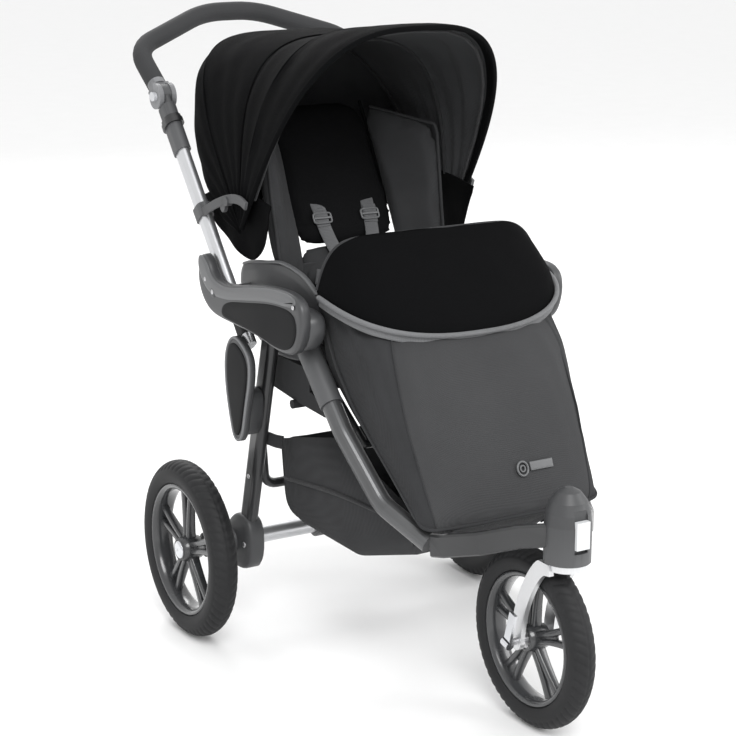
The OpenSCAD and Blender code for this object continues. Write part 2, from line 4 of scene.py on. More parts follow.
import bmesh
import bpy
from mathutils import Matrix, Vector, noise


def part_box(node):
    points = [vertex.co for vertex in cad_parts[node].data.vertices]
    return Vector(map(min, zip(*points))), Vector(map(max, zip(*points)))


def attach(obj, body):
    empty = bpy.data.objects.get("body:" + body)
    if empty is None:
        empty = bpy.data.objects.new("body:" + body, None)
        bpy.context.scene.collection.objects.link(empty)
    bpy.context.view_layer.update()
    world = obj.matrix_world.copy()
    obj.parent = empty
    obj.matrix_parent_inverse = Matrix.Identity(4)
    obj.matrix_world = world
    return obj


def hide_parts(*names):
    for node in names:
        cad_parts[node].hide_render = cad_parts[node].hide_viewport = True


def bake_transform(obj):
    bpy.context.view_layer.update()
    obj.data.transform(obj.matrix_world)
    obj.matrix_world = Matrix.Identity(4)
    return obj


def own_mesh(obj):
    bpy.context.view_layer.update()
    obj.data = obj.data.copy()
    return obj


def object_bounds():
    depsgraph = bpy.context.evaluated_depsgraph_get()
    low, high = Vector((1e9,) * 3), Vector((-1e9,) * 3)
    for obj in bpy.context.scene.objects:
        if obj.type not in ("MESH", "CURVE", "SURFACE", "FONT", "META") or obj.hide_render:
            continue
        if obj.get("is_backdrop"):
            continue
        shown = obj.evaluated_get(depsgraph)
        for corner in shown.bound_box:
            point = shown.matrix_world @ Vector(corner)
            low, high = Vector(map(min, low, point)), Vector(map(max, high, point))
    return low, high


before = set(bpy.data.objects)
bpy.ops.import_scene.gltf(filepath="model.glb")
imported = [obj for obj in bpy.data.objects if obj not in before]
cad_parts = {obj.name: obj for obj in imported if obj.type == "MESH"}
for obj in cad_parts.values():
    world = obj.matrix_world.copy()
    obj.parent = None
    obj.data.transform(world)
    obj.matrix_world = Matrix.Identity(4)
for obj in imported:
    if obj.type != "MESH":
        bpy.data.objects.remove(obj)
cad_low, cad_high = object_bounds()
scene = bpy.context.scene

# Design positions are in millimetres with Y measured from the rear axle, as in the CAD's modules.
axle_low, axle_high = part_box("axle_tube")
AXLE_Y = (axle_low.y + axle_high.y) / 2
SIDES = {"left": 1, "right": -1}


def at(x, y, z):
    return Vector((x / 1000, y / 1000 + AXLE_Y, z / 1000))


def turns(count):
    """Angles spread evenly round a circle."""
    return [tau * i / count for i in range(count)]


# ---- materials
def material(name, color, rough=0.5, metal=0.0, coat=0.0, sheen=0.0, tint=0.15, tint_scale=9.0,
             rough_span=0.12, bump=0.0, bump_scale=500.0, weave=0.0, weave_mm=1.5, wear=0.0,
             spec=0.5, streak=None):
    """Mottled colour and gloss over a fine bump; weave adds threads, and wear lightens the edges."""
    m = bpy.data.materials.new(name)
    m.use_nodes = True
    nt = m.node_tree
    b = nt.nodes["Principled BSDF"]
    for socket, value in (("Metallic", metal), ("Coat Weight", coat), ("Coat Roughness", 0.12),
                          ("Sheen Weight", sheen), ("Sheen Roughness", 0.45), ("Specular IOR Level", spec)):
        b.inputs[socket].default_value = value

    def node(kind, **values):
        n = nt.nodes.new("ShaderNode" + kind)
        for k, v in values.items():
            if k.replace("_", " ") in n.inputs:
                n.inputs[k.replace("_", " ")].default_value = v
            else:
                setattr(n, k, v)
        return n

    def link(a, out, b_, into):
        nt.links.new(a.outputs[out], b_.inputs[into])

    coords = node("TexCoord")
    source, out = coords, "Object"
    if streak:
        source, out = node("Mapping", Scale=streak), "Vector"
        link(coords, "Object", source, "Vector")
    blotch = node("TexNoise", Scale=tint_scale, Detail=5.0, Roughness=0.6)
    link(source, out, blotch, "Vector")
    ramp = node("ValToRGB")
    for stop, share, k in zip(ramp.color_ramp.elements, (0.3, 0.7), (1 - tint, 1 + tint)):
        stop.position, stop.color = share, [min(1, c * k) for c in color] + [1]
    link(blotch, "Fac", ramp, "Fac")
    hue, hue_out = ramp, "Color"
    fine = node("TexNoise", Scale=bump_scale, Detail=3.0, Roughness=0.55)
    link(source, out, fine, "Vector")
    spread = node("MapRange", To_Min=max(0.02, rough - rough_span), To_Max=min(1, rough + rough_span))
    link(blotch, "Fac", spread, "Value")
    link(spread, "Result", b, "Roughness")
    height, height_out, strength = fine, "Fac", bump
    if weave:
        threads = []
        for axis in "XYZ":
            wave = node("TexWave", Scale=100 * pi / weave_mm, Distortion=1.2, Detail=1.0, Detail_Scale=2.0,
                        bands_direction=axis)
            link(coords, "Object", wave, "Vector")
            threads.append(wave)
        pair, total = node("Math", operation="ADD"), node("Math", operation="ADD")
        link(threads[0], "Fac", pair, 0)
        link(threads[1], "Fac", pair, 1)
        link(pair, "Value", total, 0)
        link(threads[2], "Fac", total, 1)
        fuzz = node("Math", operation="MULTIPLY_ADD")
        fuzz.inputs[1].default_value = 1.6
        link(fine, "Fac", fuzz, 0)
        link(total, "Value", fuzz, 2)
        height, height_out, strength = fuzz, "Value", weave
        # The threads' height also scales the colour: painted shade in the hollows between threads and painted highlight
        # on their tops.
        shade = node("MapRange", From_Max=4.4, To_Min=0.72, To_Max=1.28)
        link(fuzz, "Value", shade, "Value")
        shaded = node("VectorMath", operation="SCALE")
        link(hue, hue_out, shaded, 0)
        link(shade, "Result", shaded, "Scale")
        hue, hue_out = shaded, "Vector"
    if wear:
        edge = node("MapRange", From_Min=0.53, From_Max=0.62, To_Max=wear)
        link(node("NewGeometry"), "Pointiness", edge, "Value")
        worn = node("Mix", data_type="RGBA")
        link(edge, "Result", worn, "Factor")
        link(hue, hue_out, worn, 6)
        worn.inputs[7].default_value = [min(1, c * 2.2 + 0.04) for c in color] + [1]
        hue, hue_out = worn, 2
    link(hue, hue_out, b, "Base Color")
    if strength:
        bumper = node("Bump", Strength=strength, Distance=0.0004)
        link(height, height_out, bumper, "Height")
        link(bumper, "Normal", b, "Normal")
    return m


def cloth(name, color, rough=0.88, **look):
    usual = {"sheen": 0.03, "weave": 0.5, "weave_mm": 1.1, "bump_scale": 800, "spec": 0.12}
    return material(name, color, rough, **{**usual, **look})


TAPE = {"sheen": 0.1, "weave": 0.6, "bump_scale": 900, "spec": 0.3}
MAT = {
    "hood": cloth("hood_cloth", (0.0024, 0.0025, 0.0028), 0.9, sheen=0.0, weave=0.45, bump_scale=900, spec=0.06),
    "lining": cloth("lining_cloth", (0.046, 0.047, 0.049)),
    "cover": cloth("cover_cloth", (0.044, 0.0445, 0.046), spec=0.10, tint=0.10, tint_scale=5),
    # a darker copy of the cover cloth for the cover's sides, bottom, seams and hem: painted shade
    "cover_painted_shade": cloth("cover_cloth_painted_shade", (0.031, 0.0315, 0.033), spec=0.10),
    "basket": cloth("basket_cloth", (0.034, 0.0345, 0.036), 0.86, weave=0.6, weave_mm=1.3, bump_scale=700),
    "seat": cloth("seat_cloth", (0.034, 0.0345, 0.036)),
    "panel": cloth("back_cloth", (0.0045, 0.0046, 0.005), 0.9, sheen=0.0, spec=0.08),
    "piping": cloth("piping_tape", (0.13, 0.132, 0.136), 0.7, **TAPE),
    "dark_tape": cloth("dark_tape", (0.02, 0.0205, 0.022), 0.75, **TAPE),
    "webbing": cloth("webbing", (0.11, 0.112, 0.116), 0.72, sheen=0.1, weave=0.9, weave_mm=1.3, bump_scale=700,
                     spec=0.3),
    "foam": material("foam", (0.030, 0.0305, 0.032), 0.78, bump=0.45, bump_scale=420, tint=0.12, tint_scale=14,
                     spec=0.3),
    "rubber": material("tyre_rubber", (0.014, 0.0142, 0.015), 0.62, bump=0.35, bump_scale=380, tint=0.2, tint_scale=18,
                       spec=0.25),
    "rim": material("rim_plastic", (0.030, 0.031, 0.033), 0.26, coat=0.5, bump=0.05, bump_scale=260, rough_span=0.08),
    "housing": material("housing_plastic", (0.040, 0.041, 0.043), 0.42, bump=0.12, bump_scale=900, tint=0.12,
                        wear=0.25),
    "band": material("band_plastic", (0.095, 0.097, 0.100), 0.40, bump=0.10, bump_scale=900, tint=0.10, wear=0.25),
    "bracket": material("bracket_plastic", (0.040, 0.041, 0.043), 0.48, bump=0.15, bump_scale=850, wear=0.3),
    "panel_black": material("panel_black", (0.008, 0.0082, 0.0088), 0.6, bump=0.06, bump_scale=700, tint=0.2,
            spec=0.12),
    "inset": material("inset_plastic", (0.014, 0.0143, 0.015), 0.34, bump=0.06, bump_scale=700, tint=0.2, coat=0.2),
    "knuckle": material("knuckle_plastic", (0.13, 0.132, 0.137), 0.45, bump=0.12, bump_scale=900, tint=0.12, wear=0.3),
    "button": material("button_plastic", (0.55, 0.56, 0.58), 0.28, metal=0.4, coat=0.4, bump=0.04, tint=0.06),
    "latch": material("latch_plastic", (0.60, 0.61, 0.62), 0.36, coat=0.3, bump=0.05, tint=0.05),
    "silver": material("silver_paint", (0.42, 0.425, 0.435), 0.30, metal=0.85, coat=0.25, bump=0.05, bump_scale=700,
                       tint=0.08, wear=0.3),
    "grey_tube": material("grey_paint", (0.075, 0.076, 0.078), 0.34, metal=0.55, coat=0.3, bump=0.06, bump_scale=650,
                          tint=0.12, wear=0.3),
    "dark_tube": material("dark_paint", (0.020, 0.0205, 0.0215), 0.36, metal=0.3, coat=0.25, bump=0.08,
                          bump_scale=600, wear=0.3),
    "fork": material("fork_metal", (0.56, 0.565, 0.575), 0.33, metal=0.9, bump=0.06, bump_scale=600, tint=0.06,
                     wear=0.2),
    "chrome": material("polished", (0.66, 0.67, 0.69), 0.14, metal=1.0, bump=0.02, tint=0.05, rough_span=0.06),
    "steel": material("steel", (0.50, 0.50, 0.51), 0.32, metal=1.0, bump=0.12, bump_scale=160, tint=0.08,
                      streak=(1, 12, 12)),
}


# ---- mesh helpers
def set_faces(me, what, value):
    me.polygons.foreach_set(what, [value] * len(me.polygons))


def new_mesh(name, verts, faces, mats, slots=None, smooth=True):
    me = bpy.data.meshes.new(name)
    me.from_pydata([tuple(v) for v in verts], [], faces)
    for m in mats if isinstance(mats, (list, tuple)) else [mats]:
        me.materials.append(m)
    if slots:
        me.polygons.foreach_set("material_index", slots)
    if smooth:
        set_faces(me, "use_smooth", True)
    me.update()
    ob = bpy.data.objects.new(name, me)
    scene.collection.objects.link(ob)
    return ob


def rings_mesh(name, rings, mats, closed=False, slot_of=None):
    """Joins rings of equal length: each ring is closed on itself, and closed=True joins the last ring to the first."""
    n, m = len(rings), len(rings[0])
    verts = [p for r in rings for p in r]
    faces, slots = [], []
    for i in range(n if closed else n - 1):
        a, b = i * m, (i + 1) % n * m
        for j in range(m):
            k = (j + 1) % m
            faces.append((a + j, b + j, b + k, a + k))
            slots.append(slot_of(i, j) if slot_of else 0)
    if not closed:
        for base, flip in ((0, False), ((n - 1) * m, True)):
            loop = [base + j for j in range(m)]
            faces.append(tuple(reversed(loop)) if flip else tuple(loop))
            slots.append(slot_of(0 if not flip else n - 2, 0) if slot_of else 0)
    ob = new_mesh(name, verts, faces, mats, slots)
    outward(ob)
    return ob


def outward(ob):
    bm = bmesh.new()
    bm.from_mesh(ob.data)
    bmesh.ops.recalc_face_normals(bm, faces=bm.faces)
    bm.to_mesh(ob.data)
    bm.free()


def modify(ob, kind, **values):
    mod = ob.modifiers.new(kind.lower(), kind)
    for k, v in values.items():
        setattr(mod, k, v)
    return mod


def settle(ob):
    """Turns the modifiers into the mesh itself."""
    dg = bpy.context.evaluated_depsgraph_get()
    me = bpy.data.meshes.new_from_object(ob.evaluated_get(dg))
    ob.modifiers.clear()
    old, ob.data = ob.data, me
    bpy.data.meshes.remove(old)
    return ob


def join(name, obs):
    """One object of several, keeping each one's materials."""
    bpy.ops.object.select_all(action="DESELECT")
    for o in obs:
        o.select_set(True)
    bpy.context.view_layer.objects.active = obs[0]
    bpy.ops.object.join()
    obs[0].name = name
    obs[0].data.name = name
    return obs[0]


def place(ob, body, *nodes, slot=None):
    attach(ob, body)
    if nodes:
        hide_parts(*nodes)
    return ob


def lerp(a, b, t):
    return a + (b - a) * t


def signed(c, power):
    """A power of c's size, with c's sign."""
    return copysign(abs(c) ** power, c)


def spline(p0, p1, p2, p3, t):
    """The smooth curve from p1 (t = 0) to p2 (t = 1), for numbers and vectors alike."""
    return 0.5 * (2 * p1 + (p2 - p0) * t + (2 * p0 - 5 * p1 + 4 * p2 - p3) * t * t
                  + (3 * p1 - p0 - 3 * p2 + p3) * t ** 3)


def curve_points(points, count, closed=False):
    """Points spread evenly along a smooth curve through the given ones."""
    pts = [Vector(p) for p in points]
    n = len(pts)
    dense = []
    spans = n if closed else n - 1
    for i in range(spans):
        p1, p2 = pts[i], pts[(i + 1) % n]
        p0 = pts[(i - 1) % n] if closed or i else p1 * 2 - p2
        p3 = pts[(i + 2) % n] if closed or i + 2 < n else p2 * 2 - p1
        dense += [spline(p0, p1, p2, p3, k / 24) for k in range(24)]
    dense.append(pts[0] if closed else pts[-1])
    lengths = [0.0]
    for a, b in zip(dense, dense[1:]):
        lengths.append(lengths[-1] + (b - a).length)
    out, j = [], 0
    steps = count if closed else count - 1
    for i in range(count):
        want = lengths[-1] * i / steps
        while j < len(lengths) - 2 and lengths[j + 1] < want:
            j += 1
        span = lengths[j + 1] - lengths[j]
        out.append(dense[j].lerp(dense[j + 1], (want - lengths[j]) / span if span > 1e-12 else 0))
    return out


def frames_along(path, closed=False):
    """Each point with two directions across the path there, turned as little as possible from point to point."""
    n = len(path)
    out = []
    u = Vector((0, 0, 1))
    for i, p in enumerate(path):
        a = path[(i - 1) % n] if closed or i else path[0]
        b = path[(i + 1) % n] if closed or i < n - 1 else path[-1]
        t = (b - a).normalized()
        u = u - t * u.dot(t)
        u = u.normalized() if u.length > 1e-6 else t.orthogonal().normalized()
        out.append((p, u, t.cross(u)))
    return out


def tube(name, path, r, mat, sides=14, closed=False, count=None, flat=1.0):
    """A round or flattened bar along a path of millimetre points; r may be a function of the share along it."""
    pts = [at(*p) for p in path]
    pts = curve_points(pts, count or max(12, len(pts) * 6), closed)
    rings = []
    fr = frames_along(pts, closed)
    total = len(fr)
    for i, (p, u, v) in enumerate(fr):
        rr = (r(i / (total - 1)) if callable(r) else r) / 1000
        rings.append([p + u * (rr * flat * cos(a)) + v * (rr * sin(a)) for a in turns(sides)])
    if not closed:
        rings = round_ends(rings, [f[0] for f in fr])
    return rings_mesh(name, rings, mat, closed=closed)


def round_ends(rings, centres):
    """Adds two smaller rings past each end, so that a bar ends in a rounded cap."""
    def cap(ring, centre, inside):
        way = (centre - inside).normalized()
        size = (ring[0] - centre).length
        return [[centre + (p - centre) * k + way * (size * d) for p in ring] for k,
                d in ((0.92, 0.18), (0.66, 0.32), (0.3, 0.40))]
    first = cap(rings[0], centres[0], centres[1])
    last = cap(rings[-1], centres[-1], centres[-2])
    return first[::-1] + rings + last


def smooth_outline(points, times=3):
    for _ in range(times):
        points = [(s * a[0] + (1 - s) * b[0], s * a[1] + (1 - s) * b[1])
                  for a, b in zip(points, points[1:] + points[:1]) for s in (0.75, 0.25)]
    return points


def inset(points, d):
    """The outline of (y, z) points moved inwards by d along its own normals."""
    n = len(points)
    area = sum(a[0] * b[1] - b[0] * a[1] for a, b in zip(points, points[1:] + points[:1]))
    turn = 1 if area > 0 else -1
    out = []
    for i in range(n):
        (ay, az), (by, bz) = points[i - 1], points[(i + 1) % n]
        length = hypot(by - ay, bz - az) or 1
        out.append((points[i][0] - turn * (bz - az) / length * d, points[i][1] + turn * (by - ay) / length * d))
    return out


def moulding(name, outline, x_in, x_out, side, mat, edge, dome, back_edge, reach):
    """A moulded plate: a drawn outline in the (y, z) plane with a rounded edge and a slightly domed face."""
    base = smooth_outline(outline)
    way = 1 if x_out > x_in else -1
    stages = [(back_edge, x_in), (0, x_in + way * back_edge)]
    for k in range(5):
        a = radians(90 * k / 4)
        stages.append((edge * (1 - cos(a)), x_out - way * (edge + dome) + way * edge * sin(a)))
    for k in range(1, 4):
        stages.append((edge + reach * k / 3, x_out - way * dome + way * dome * sin(radians(30 * k))))
    rings = [[at(side * x, y, z) for y, z in inset(base, d)] for d, x in stages]
    return rings_mesh(name, rings, mat)


def rivet(name, where, axis, r, mat, height):
    """A domed rivet or screw head standing on a surface."""
    a = Vector(axis).normalized()
    u = a.orthogonal().normalized()
    v = a.cross(u)
    c = at(*where)
    rings = []
    for rr, h in ((1.0, 0.0), (1.0, 0.25), (0.93, 0.6), (0.7, 0.9), (0.35, 1.0)):
        rings.append([c + a * (r * height * h / 1000) + (u * cos(t) + v * sin(t)) * (r * rr / 1000)
                      for t in turns(18)])
    return rings_mesh(name, rings, mat)


def wobble(p, scale, size, seed=0.0):
    return noise.noise(Vector((p.x * scale + seed, p.y * scale - seed, p.z * scale + 2 * seed))) * size


# ---- hood
HOOD_PIVOT = (-45, 655)
HOOD_FRONT, HOOD_BACK = 123.0, 6.0
HOOD_FOOT = 22  # how far the cloth's lower edges stay above the pivot
HOOD_REACH = [(-13, -50), (6, 110), (25, 270), (45, 376), (66, 334), (87, 309), (105, 336), (123, 399), (141, 462)]


def path_2d(points, t):
    f = t * (len(points) - 1)
    i = min(int(f), len(points) - 2)
    p0, p1 = points[max(i - 1, 0)], points[i]
    p2, p3 = points[i + 1], points[min(i + 2, len(points) - 1)]
    return tuple(spline(p0[k], p1[k], p2[k], p3[k], f - i) for k in (0, 1))


def hood_reach(a):
    """How far the hood stands from its pivot at the bow angle a."""
    i = 1
    while i < len(HOOD_REACH) - 3 and a >= HOOD_REACH[i + 1][0]:
        i += 1
    (_, p0), (a1, p1), (a2, p2), (_, p3) = HOOD_REACH[i - 1:i + 3]
    return spline(p0, p1, p2, p3, (a - a1) / (a2 - a1))


def hood_half(a):
    return 188 + 4 * (a - HOOD_BACK) / 54 if a < 60 else 192 + 11 * (a - 60) / (HOOD_FRONT - 60)


def hood_power(a):
    return 4.2 - 1.2 * (a - HOOD_BACK) / (HOOD_FRONT - HOOD_BACK)


def hood_point(a, k, deep):
    """A point of the hood: a is the angle of its bow, k runs from one foot (0) over the top to the other (180)."""
    w, r, e = hood_half(a) - deep, hood_reach(a) - deep, hood_power(a)
    c, s = cos(radians(k)), sin(radians(k))
    x = w * signed(c, 2 / e)
    y = r * abs(s) ** (2 / e)
    rad = radians(a)
    return x, HOOD_PIVOT[0] + y * cos(rad), HOOD_PIVOT[1] + y * sin(rad)


def hood_surface(a, k, deep):
    """The hood's cloth with the ridges over its bows, the slack between them and creases near its feet."""
    top = max(0.0, sin(radians(k))) ** 0.6
    ridge = sum(1.6 * exp(-((a - bow) / 1.6) ** 2) for bow in (120.5, 104, 52, 30))
    slack = -2.2 * sin(radians((a - 52) / 52 * 180)) if 52 < a < 104 else 0
    valley = -2.5 * exp(-((a - 87) / 2.5) ** 2)
    crease = 1.5 * sin(a * 0.55 + 3 * sin(radians(k))) * (1 - top) ** 0.5
    p = at(*hood_point(a, k, deep))
    crease += wobble(p, 14, 2.4, 3.0) + wobble(p, 34, 0.9, 7.0)
    lift = (ridge + slack + valley) * top + crease * 0.8 - 0.8
    return at(*hood_point(a, k, deep - min(lift, 1.8)))


def bow_angles(a, count):
    """Angles spread evenly along the bow at a, from one foot to the other."""
    foot = degrees(asin(min(1, (HOOD_FOOT / hood_reach(a)) ** (hood_power(a) / 2))))
    return [foot + (180 - 2 * foot) * j / count for j in range(count + 1)]


def make_hood():
    n_a, n_k, wall = 110, 84, 6.0
    rings = []
    for i in range(n_a + 1):
        a = HOOD_BACK + (HOOD_FRONT - HOOD_BACK) * i / n_a
        ks = bow_angles(a, n_k)
        rings.append([hood_surface(a, k, 0) for k in ks] + [hood_surface(a, k, wall) for k in reversed(ks)])

    def slot_of(i, j):
        return 1 if n_k < j < 2 * n_k + 1 and i < n_a - 3 else 0
    pieces = [rings_mesh("hood", rings, [MAT["hood"], MAT["lining"]], slot_of=slot_of)]
    roll = [hood_point(HOOD_FRONT, k, 3.0) for k in bow_angles(HOOD_FRONT, 60)]
    pieces.append(tube("hood_rim_roll", roll, 4.2, MAT["hood"], sides=12, count=120))
    for label, a, deep in (("front", 104.0, 0.2), ("valley", 87.0, 2.2), ("rear", 52.0, 0.2)):
        line = [hood_point(a, k, deep) for k in bow_angles(a, 60)]
        pieces.append(tube("hood_seam_" + label, line, 1.5, MAT["hood"], sides=8, count=110))
    for piece in pieces:
        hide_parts("canopy")
        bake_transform(piece)
    return pieces[0]


hood = make_hood()


# ---- leg cover and flap
COVER_POWER = 2.5, 6.0  # how square the cover's section is, at its top and from its middle down


COVER_FRONT = [(-416, 562), (-444, 515), (-476, 448), (-504, 383), (-525, 325), (-524, 304)]
COVER_REAR = [(-264, 594), (-270, 552), (-276, 504), (-324, 450), (-412, 386), (-494, 320)]


def cover_half(t):
    return lerp(184, 155, t ** 0.9) + 3 * sin(pi * t)


def cover_power(t):
    return lerp(*COVER_POWER, min(1, t * 2.2))


def cover_point(t, angle, deep=0.0):
    """t runs from the top hem to the bottom; the angle from one rear edge round the front to the other."""
    fy, fz = path_2d(COVER_FRONT, t)
    ry, rz = path_2d(COVER_REAR, t)
    power = cover_power(t)
    c, s = cos(radians(angle)), sin(radians(angle))
    k = max(0.0, s) ** (2 / power)
    reach = 1 - deep / max(60.0, hypot(fy - ry, fz - rz))
    z = lerp(rz, fz, k)
    return (cover_half(t) - deep) * signed(c, 2 / power), lerp(ry, fy, k * reach), z


def cover_surface(t, angle, deep):
    p = at(*cover_point(t, angle, deep))
    s = sin(radians(angle))
    side = 1 - s ** 2
    fold = 2.4 * sin(angle * 0.35 + t * 5) * (1 - t) ** 2 * (0.4 + side)
    fold += 2.2 * sin(t * 9 + angle * 0.08) * side * t
    fold += wobble(p, 9, 4.0, 11) + wobble(p, 24, 1.6, 4)
    return at(*cover_point(t, angle, deep + max(-2.0, min(4.5, fold * 0.7 + 1.2))))


def make_leg_cover():
    n_t, n_a, wall = 56, 108, 2.4
    rings = []
    for i in range(n_a + 1):
        angle = 180 * i / n_a
        outer = [cover_surface(j / n_t, angle, 0.0) for j in range(n_t + 1)]
        inner = [cover_surface(j / n_t, angle, wall) for j in range(n_t, -1, -1)]
        rings.append(outer + inner)
    seam_and_shade_low, seam_and_shade_high = 50, 130

    # The front between the seams takes the cover cloth; the sides, like the bottom, seams and hem, take a darker copy
    # of it: painted shade.
    def slot_of(i, j):
        return 0 if seam_and_shade_low <= 180 * i / n_a < seam_and_shade_high else 1
    cover = rings_mesh("leg_cover_cloth", rings, [MAT["cover"], MAT["cover_painted_shade"]], slot_of=slot_of)
    parts = [cover]
    bottom = []
    for i in range(33):
        u = i / 32
        front = Vector(cover_point(1.0, 4 + 172 * u, 4.0))
        back = Vector((front.x * 0.97, lerp(-496, -486, 1 - abs(2 * u - 1)), 327))
        under = [at(*front.lerp(back, k / 10)) - Vector((0, 0, 0.004 * sin(pi * k / 10)))
                 for k in range(11)]
        bottom.append(under + [p + Vector((0, 0, 0.003)) for p in reversed(under)])
    parts.append(rings_mesh("leg_cover_bottom", bottom, MAT["cover_painted_shade"]))
    for label, angle in (("left", seam_and_shade_low), ("right", seam_and_shade_high)):
        line = [cover_point(t / 40, angle, 1.2) for t in range(41)]
        parts.append(tube("leg_cover_seam_" + label, line, 1.6, MAT["cover_painted_shade"], sides=8, count=80))
    hem = [cover_point(0.985, a * 180 / 60, 0.6) for a in range(61)]
    parts.append(tube("leg_cover_hem", hem, 2.6, MAT["cover_painted_shade"], sides=10, count=120))
    for label, angle in (("left", 0.5), ("right", 179.5)):
        line = [cover_point(t / 40, angle, 0.6) for t in range(41)]
        parts.append(tube("leg_cover_edge_" + label, line, 2.4, MAT["dark_tape"], sides=10, count=90))
    return parts


FLAP_HALF, FLAP_Y, FLAP_Z, FLAP_POWER = 198, -290, 618, 2.47


def flap_rear(x):
    u = min(1, abs(x) / FLAP_HALF)
    return FLAP_Y + 6 * (1 - u ** 6), FLAP_Z + 73 * (1 - u ** 9.5)


def flap_hem(angle):
    c, s = cos(radians(angle)), sin(radians(angle))
    k = max(0.0, s) ** (2 / FLAP_POWER)
    return FLAP_HALF * signed(c, 2 / FLAP_POWER), FLAP_Y - 130 * k, FLAP_Z - 51 * k ** 1.5


def make_flap():
    n_s, n_r, wall = 96, 34, 3.0
    crest = []
    for i in range(n_s + 1):
        angle = 1 + 178 * i / n_s
        hx, hy, hz = flap_hem(angle)
        ry, rz = flap_rear(hx)
        line, under = [], []
        for j in range(n_r + 1):
            t = j / n_r
            y = lerp(ry, hy, t)
            z = lerp(rz, hz, t) + 11 * sin(pi * t) * max(0.0, sin(radians(angle))) ** 0.5
            z -= 10 * t ** 8
            p = at(hx, y, z)
            z += wobble(p, 11, 3.5, 21) + wobble(p, 30, 1.0, 5)
            line.append(at(hx, y, z))
            under.append(at(hx * 0.992, lerp(ry, hy, t * 0.985 + 0.004), z - wall - 1.0))
        crest.append(line + under[::-1])
    flap = rings_mesh("leg_flap_cloth", crest, MAT["hood"])
    front = [(x * 1.012, y - 3.5, z - 8.0) for x, y, z in [flap_hem(1 + 178 * i / 60) for i in range(61)]]
    piping = tube("leg_flap_piping", front, 3.8, MAT["piping"], sides=12, count=150)
    rear = [(x, flap_rear(x)[0] + 1.0, flap_rear(x)[1] - 2.0) for x in [-197 + 394 * i / 90 for i in range(91)]]
    binding = tube("leg_flap_binding", rear, 2.6, MAT["dark_tape"], sides=10, count=160)
    skirt_rings = []
    for i in range(97):
        angle = 1 + 178 * i / 96
        x, y, z = flap_hem(angle)
        outer = [at(x * (1 + 0.001 * k), y - 1.2, z - 10 - 3.0 * k + wobble(at(x, y, z), 30, 1.2, k)) for k in range(5)]
        inner = [at(x * 0.992, y + 1.0, z - 10 - 3.0 * k) for k in range(4, -1, -1)]
        skirt_rings.append(outer + inner)
    skirt = rings_mesh("leg_flap_skirt", skirt_rings, MAT["piping"])
    return [flap, piping, binding, skirt]


cover_pieces, flap_pieces = make_leg_cover(), make_flap()
for piece in cover_pieces:
    place(piece, "chassis", "leg_cover", slot="fabric_grey")
for piece in flap_pieces:
    place(piece, "chassis", "leg_flap", slot="fabric_black")
    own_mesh(piece)


# ---- basket
BASKET_MID, BASKET_HALF = -294, 199  # the middle of its length, and half of that length
BASKET_RIM = [(-100, 338), (-280, 394), (-376, 351), (-492, 298)]
BASKET_WIDTH = [(-100, 167), (-280, 165), (-376, 153), (-466, 129), (-495, 117)]


def along(knots, y):
    """A value at y, read off straight lines between (y, value) knots that run forwards."""
    for (a, va), (b, vb) in zip(knots, knots[1:]):
        if y > b:
            return lerp(va, vb, (a - y) / (a - b))
    return knots[-1][1]


def basket_point(angle, depth, deep=0.0):
    """depth runs from the rim (0) down the wall and over the floor to the middle (1)."""
    c, s = cos(radians(angle)), sin(radians(angle))
    cx, sy = signed(c, 0.12), signed(s, 0.12)
    f = radians(90 * depth)
    out, down = cos(f) ** 0.22, sin(f) ** 0.22
    y, rim_y = BASKET_MID + (BASKET_HALF - deep) * sy * out, BASKET_MID + BASKET_HALF * sy
    x = (along(BASKET_WIDTH, rim_y) - deep) * cx * out * (1 - 0.06 * down)
    floor = 186 + 72 * max(0.0, (-315 - y) / 140) ** 1.2 + 8 * max(0.0, (y + 330) / 130)
    return x, y, lerp(along(BASKET_RIM, rim_y), floor + deep, down)


def make_basket():
    n_a, n_d, wall = 144, 40, 2.2
    shell = []
    for i in range(n_a):
        angle = 360 * i / n_a
        line, under = [], []
        for j in range(n_d + 1):
            d = 0.985 * j / n_d
            p = at(*basket_point(angle, d))
            slack = 2.5 + wobble(p, 10, 4.5, 31) + wobble(p, 26, 1.8, 8) + 1.8 * sin(angle * 0.3 + d * 7) * (1 - d)
            slack = max(0.0, slack)
            line.append(at(*basket_point(angle, d, slack)))
            under.append(at(*basket_point(angle, d, slack + wall)))
        shell.append(line + under[::-1])
    ob = rings_mesh("basket_cloth", shell, MAT["basket"], closed=True)
    rim = [basket_point(360 * i / 90, 0.02, 2.0) for i in range(90)]
    binding = tube("basket_binding", rim, 3.4, MAT["dark_tape"], sides=10, closed=True, count=180)
    pieces = [ob, binding]
    line = []
    for j in range(0, 26, 2):
        d = 0.02 + 0.60 * j / 25
        a = -min(range(91), key=lambda a: abs(basket_point(-a, d, 1.6)[1] + 440 - 10 * d))
        line.append(basket_point(a, d, 1.6))
    for k, sx in SIDES.items():
        seam = [(sx * x, y, z) for x, y, z in line]
        pieces.append(tube("basket_seam_front_" + k, seam, 1.5, MAT["dark_tape"], sides=8, count=60))
    return pieces


basket_pieces = make_basket()
for piece in basket_pieces:
    place(piece, "chassis", "basket", slot="fabric_grey")
    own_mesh(piece)


# ---- seat, backrest and harness
BACK_LEAN = atan2(72 + 84, 850 - 570)


def on_back(x, s, off=0.0):
    """A point on the backrest's front plane: s up the panel, off in front of it."""
    c, n = cos(BACK_LEAN), sin(BACK_LEAN)
    return x, -84 + s * n - off * c, 570 + s * c + off * n


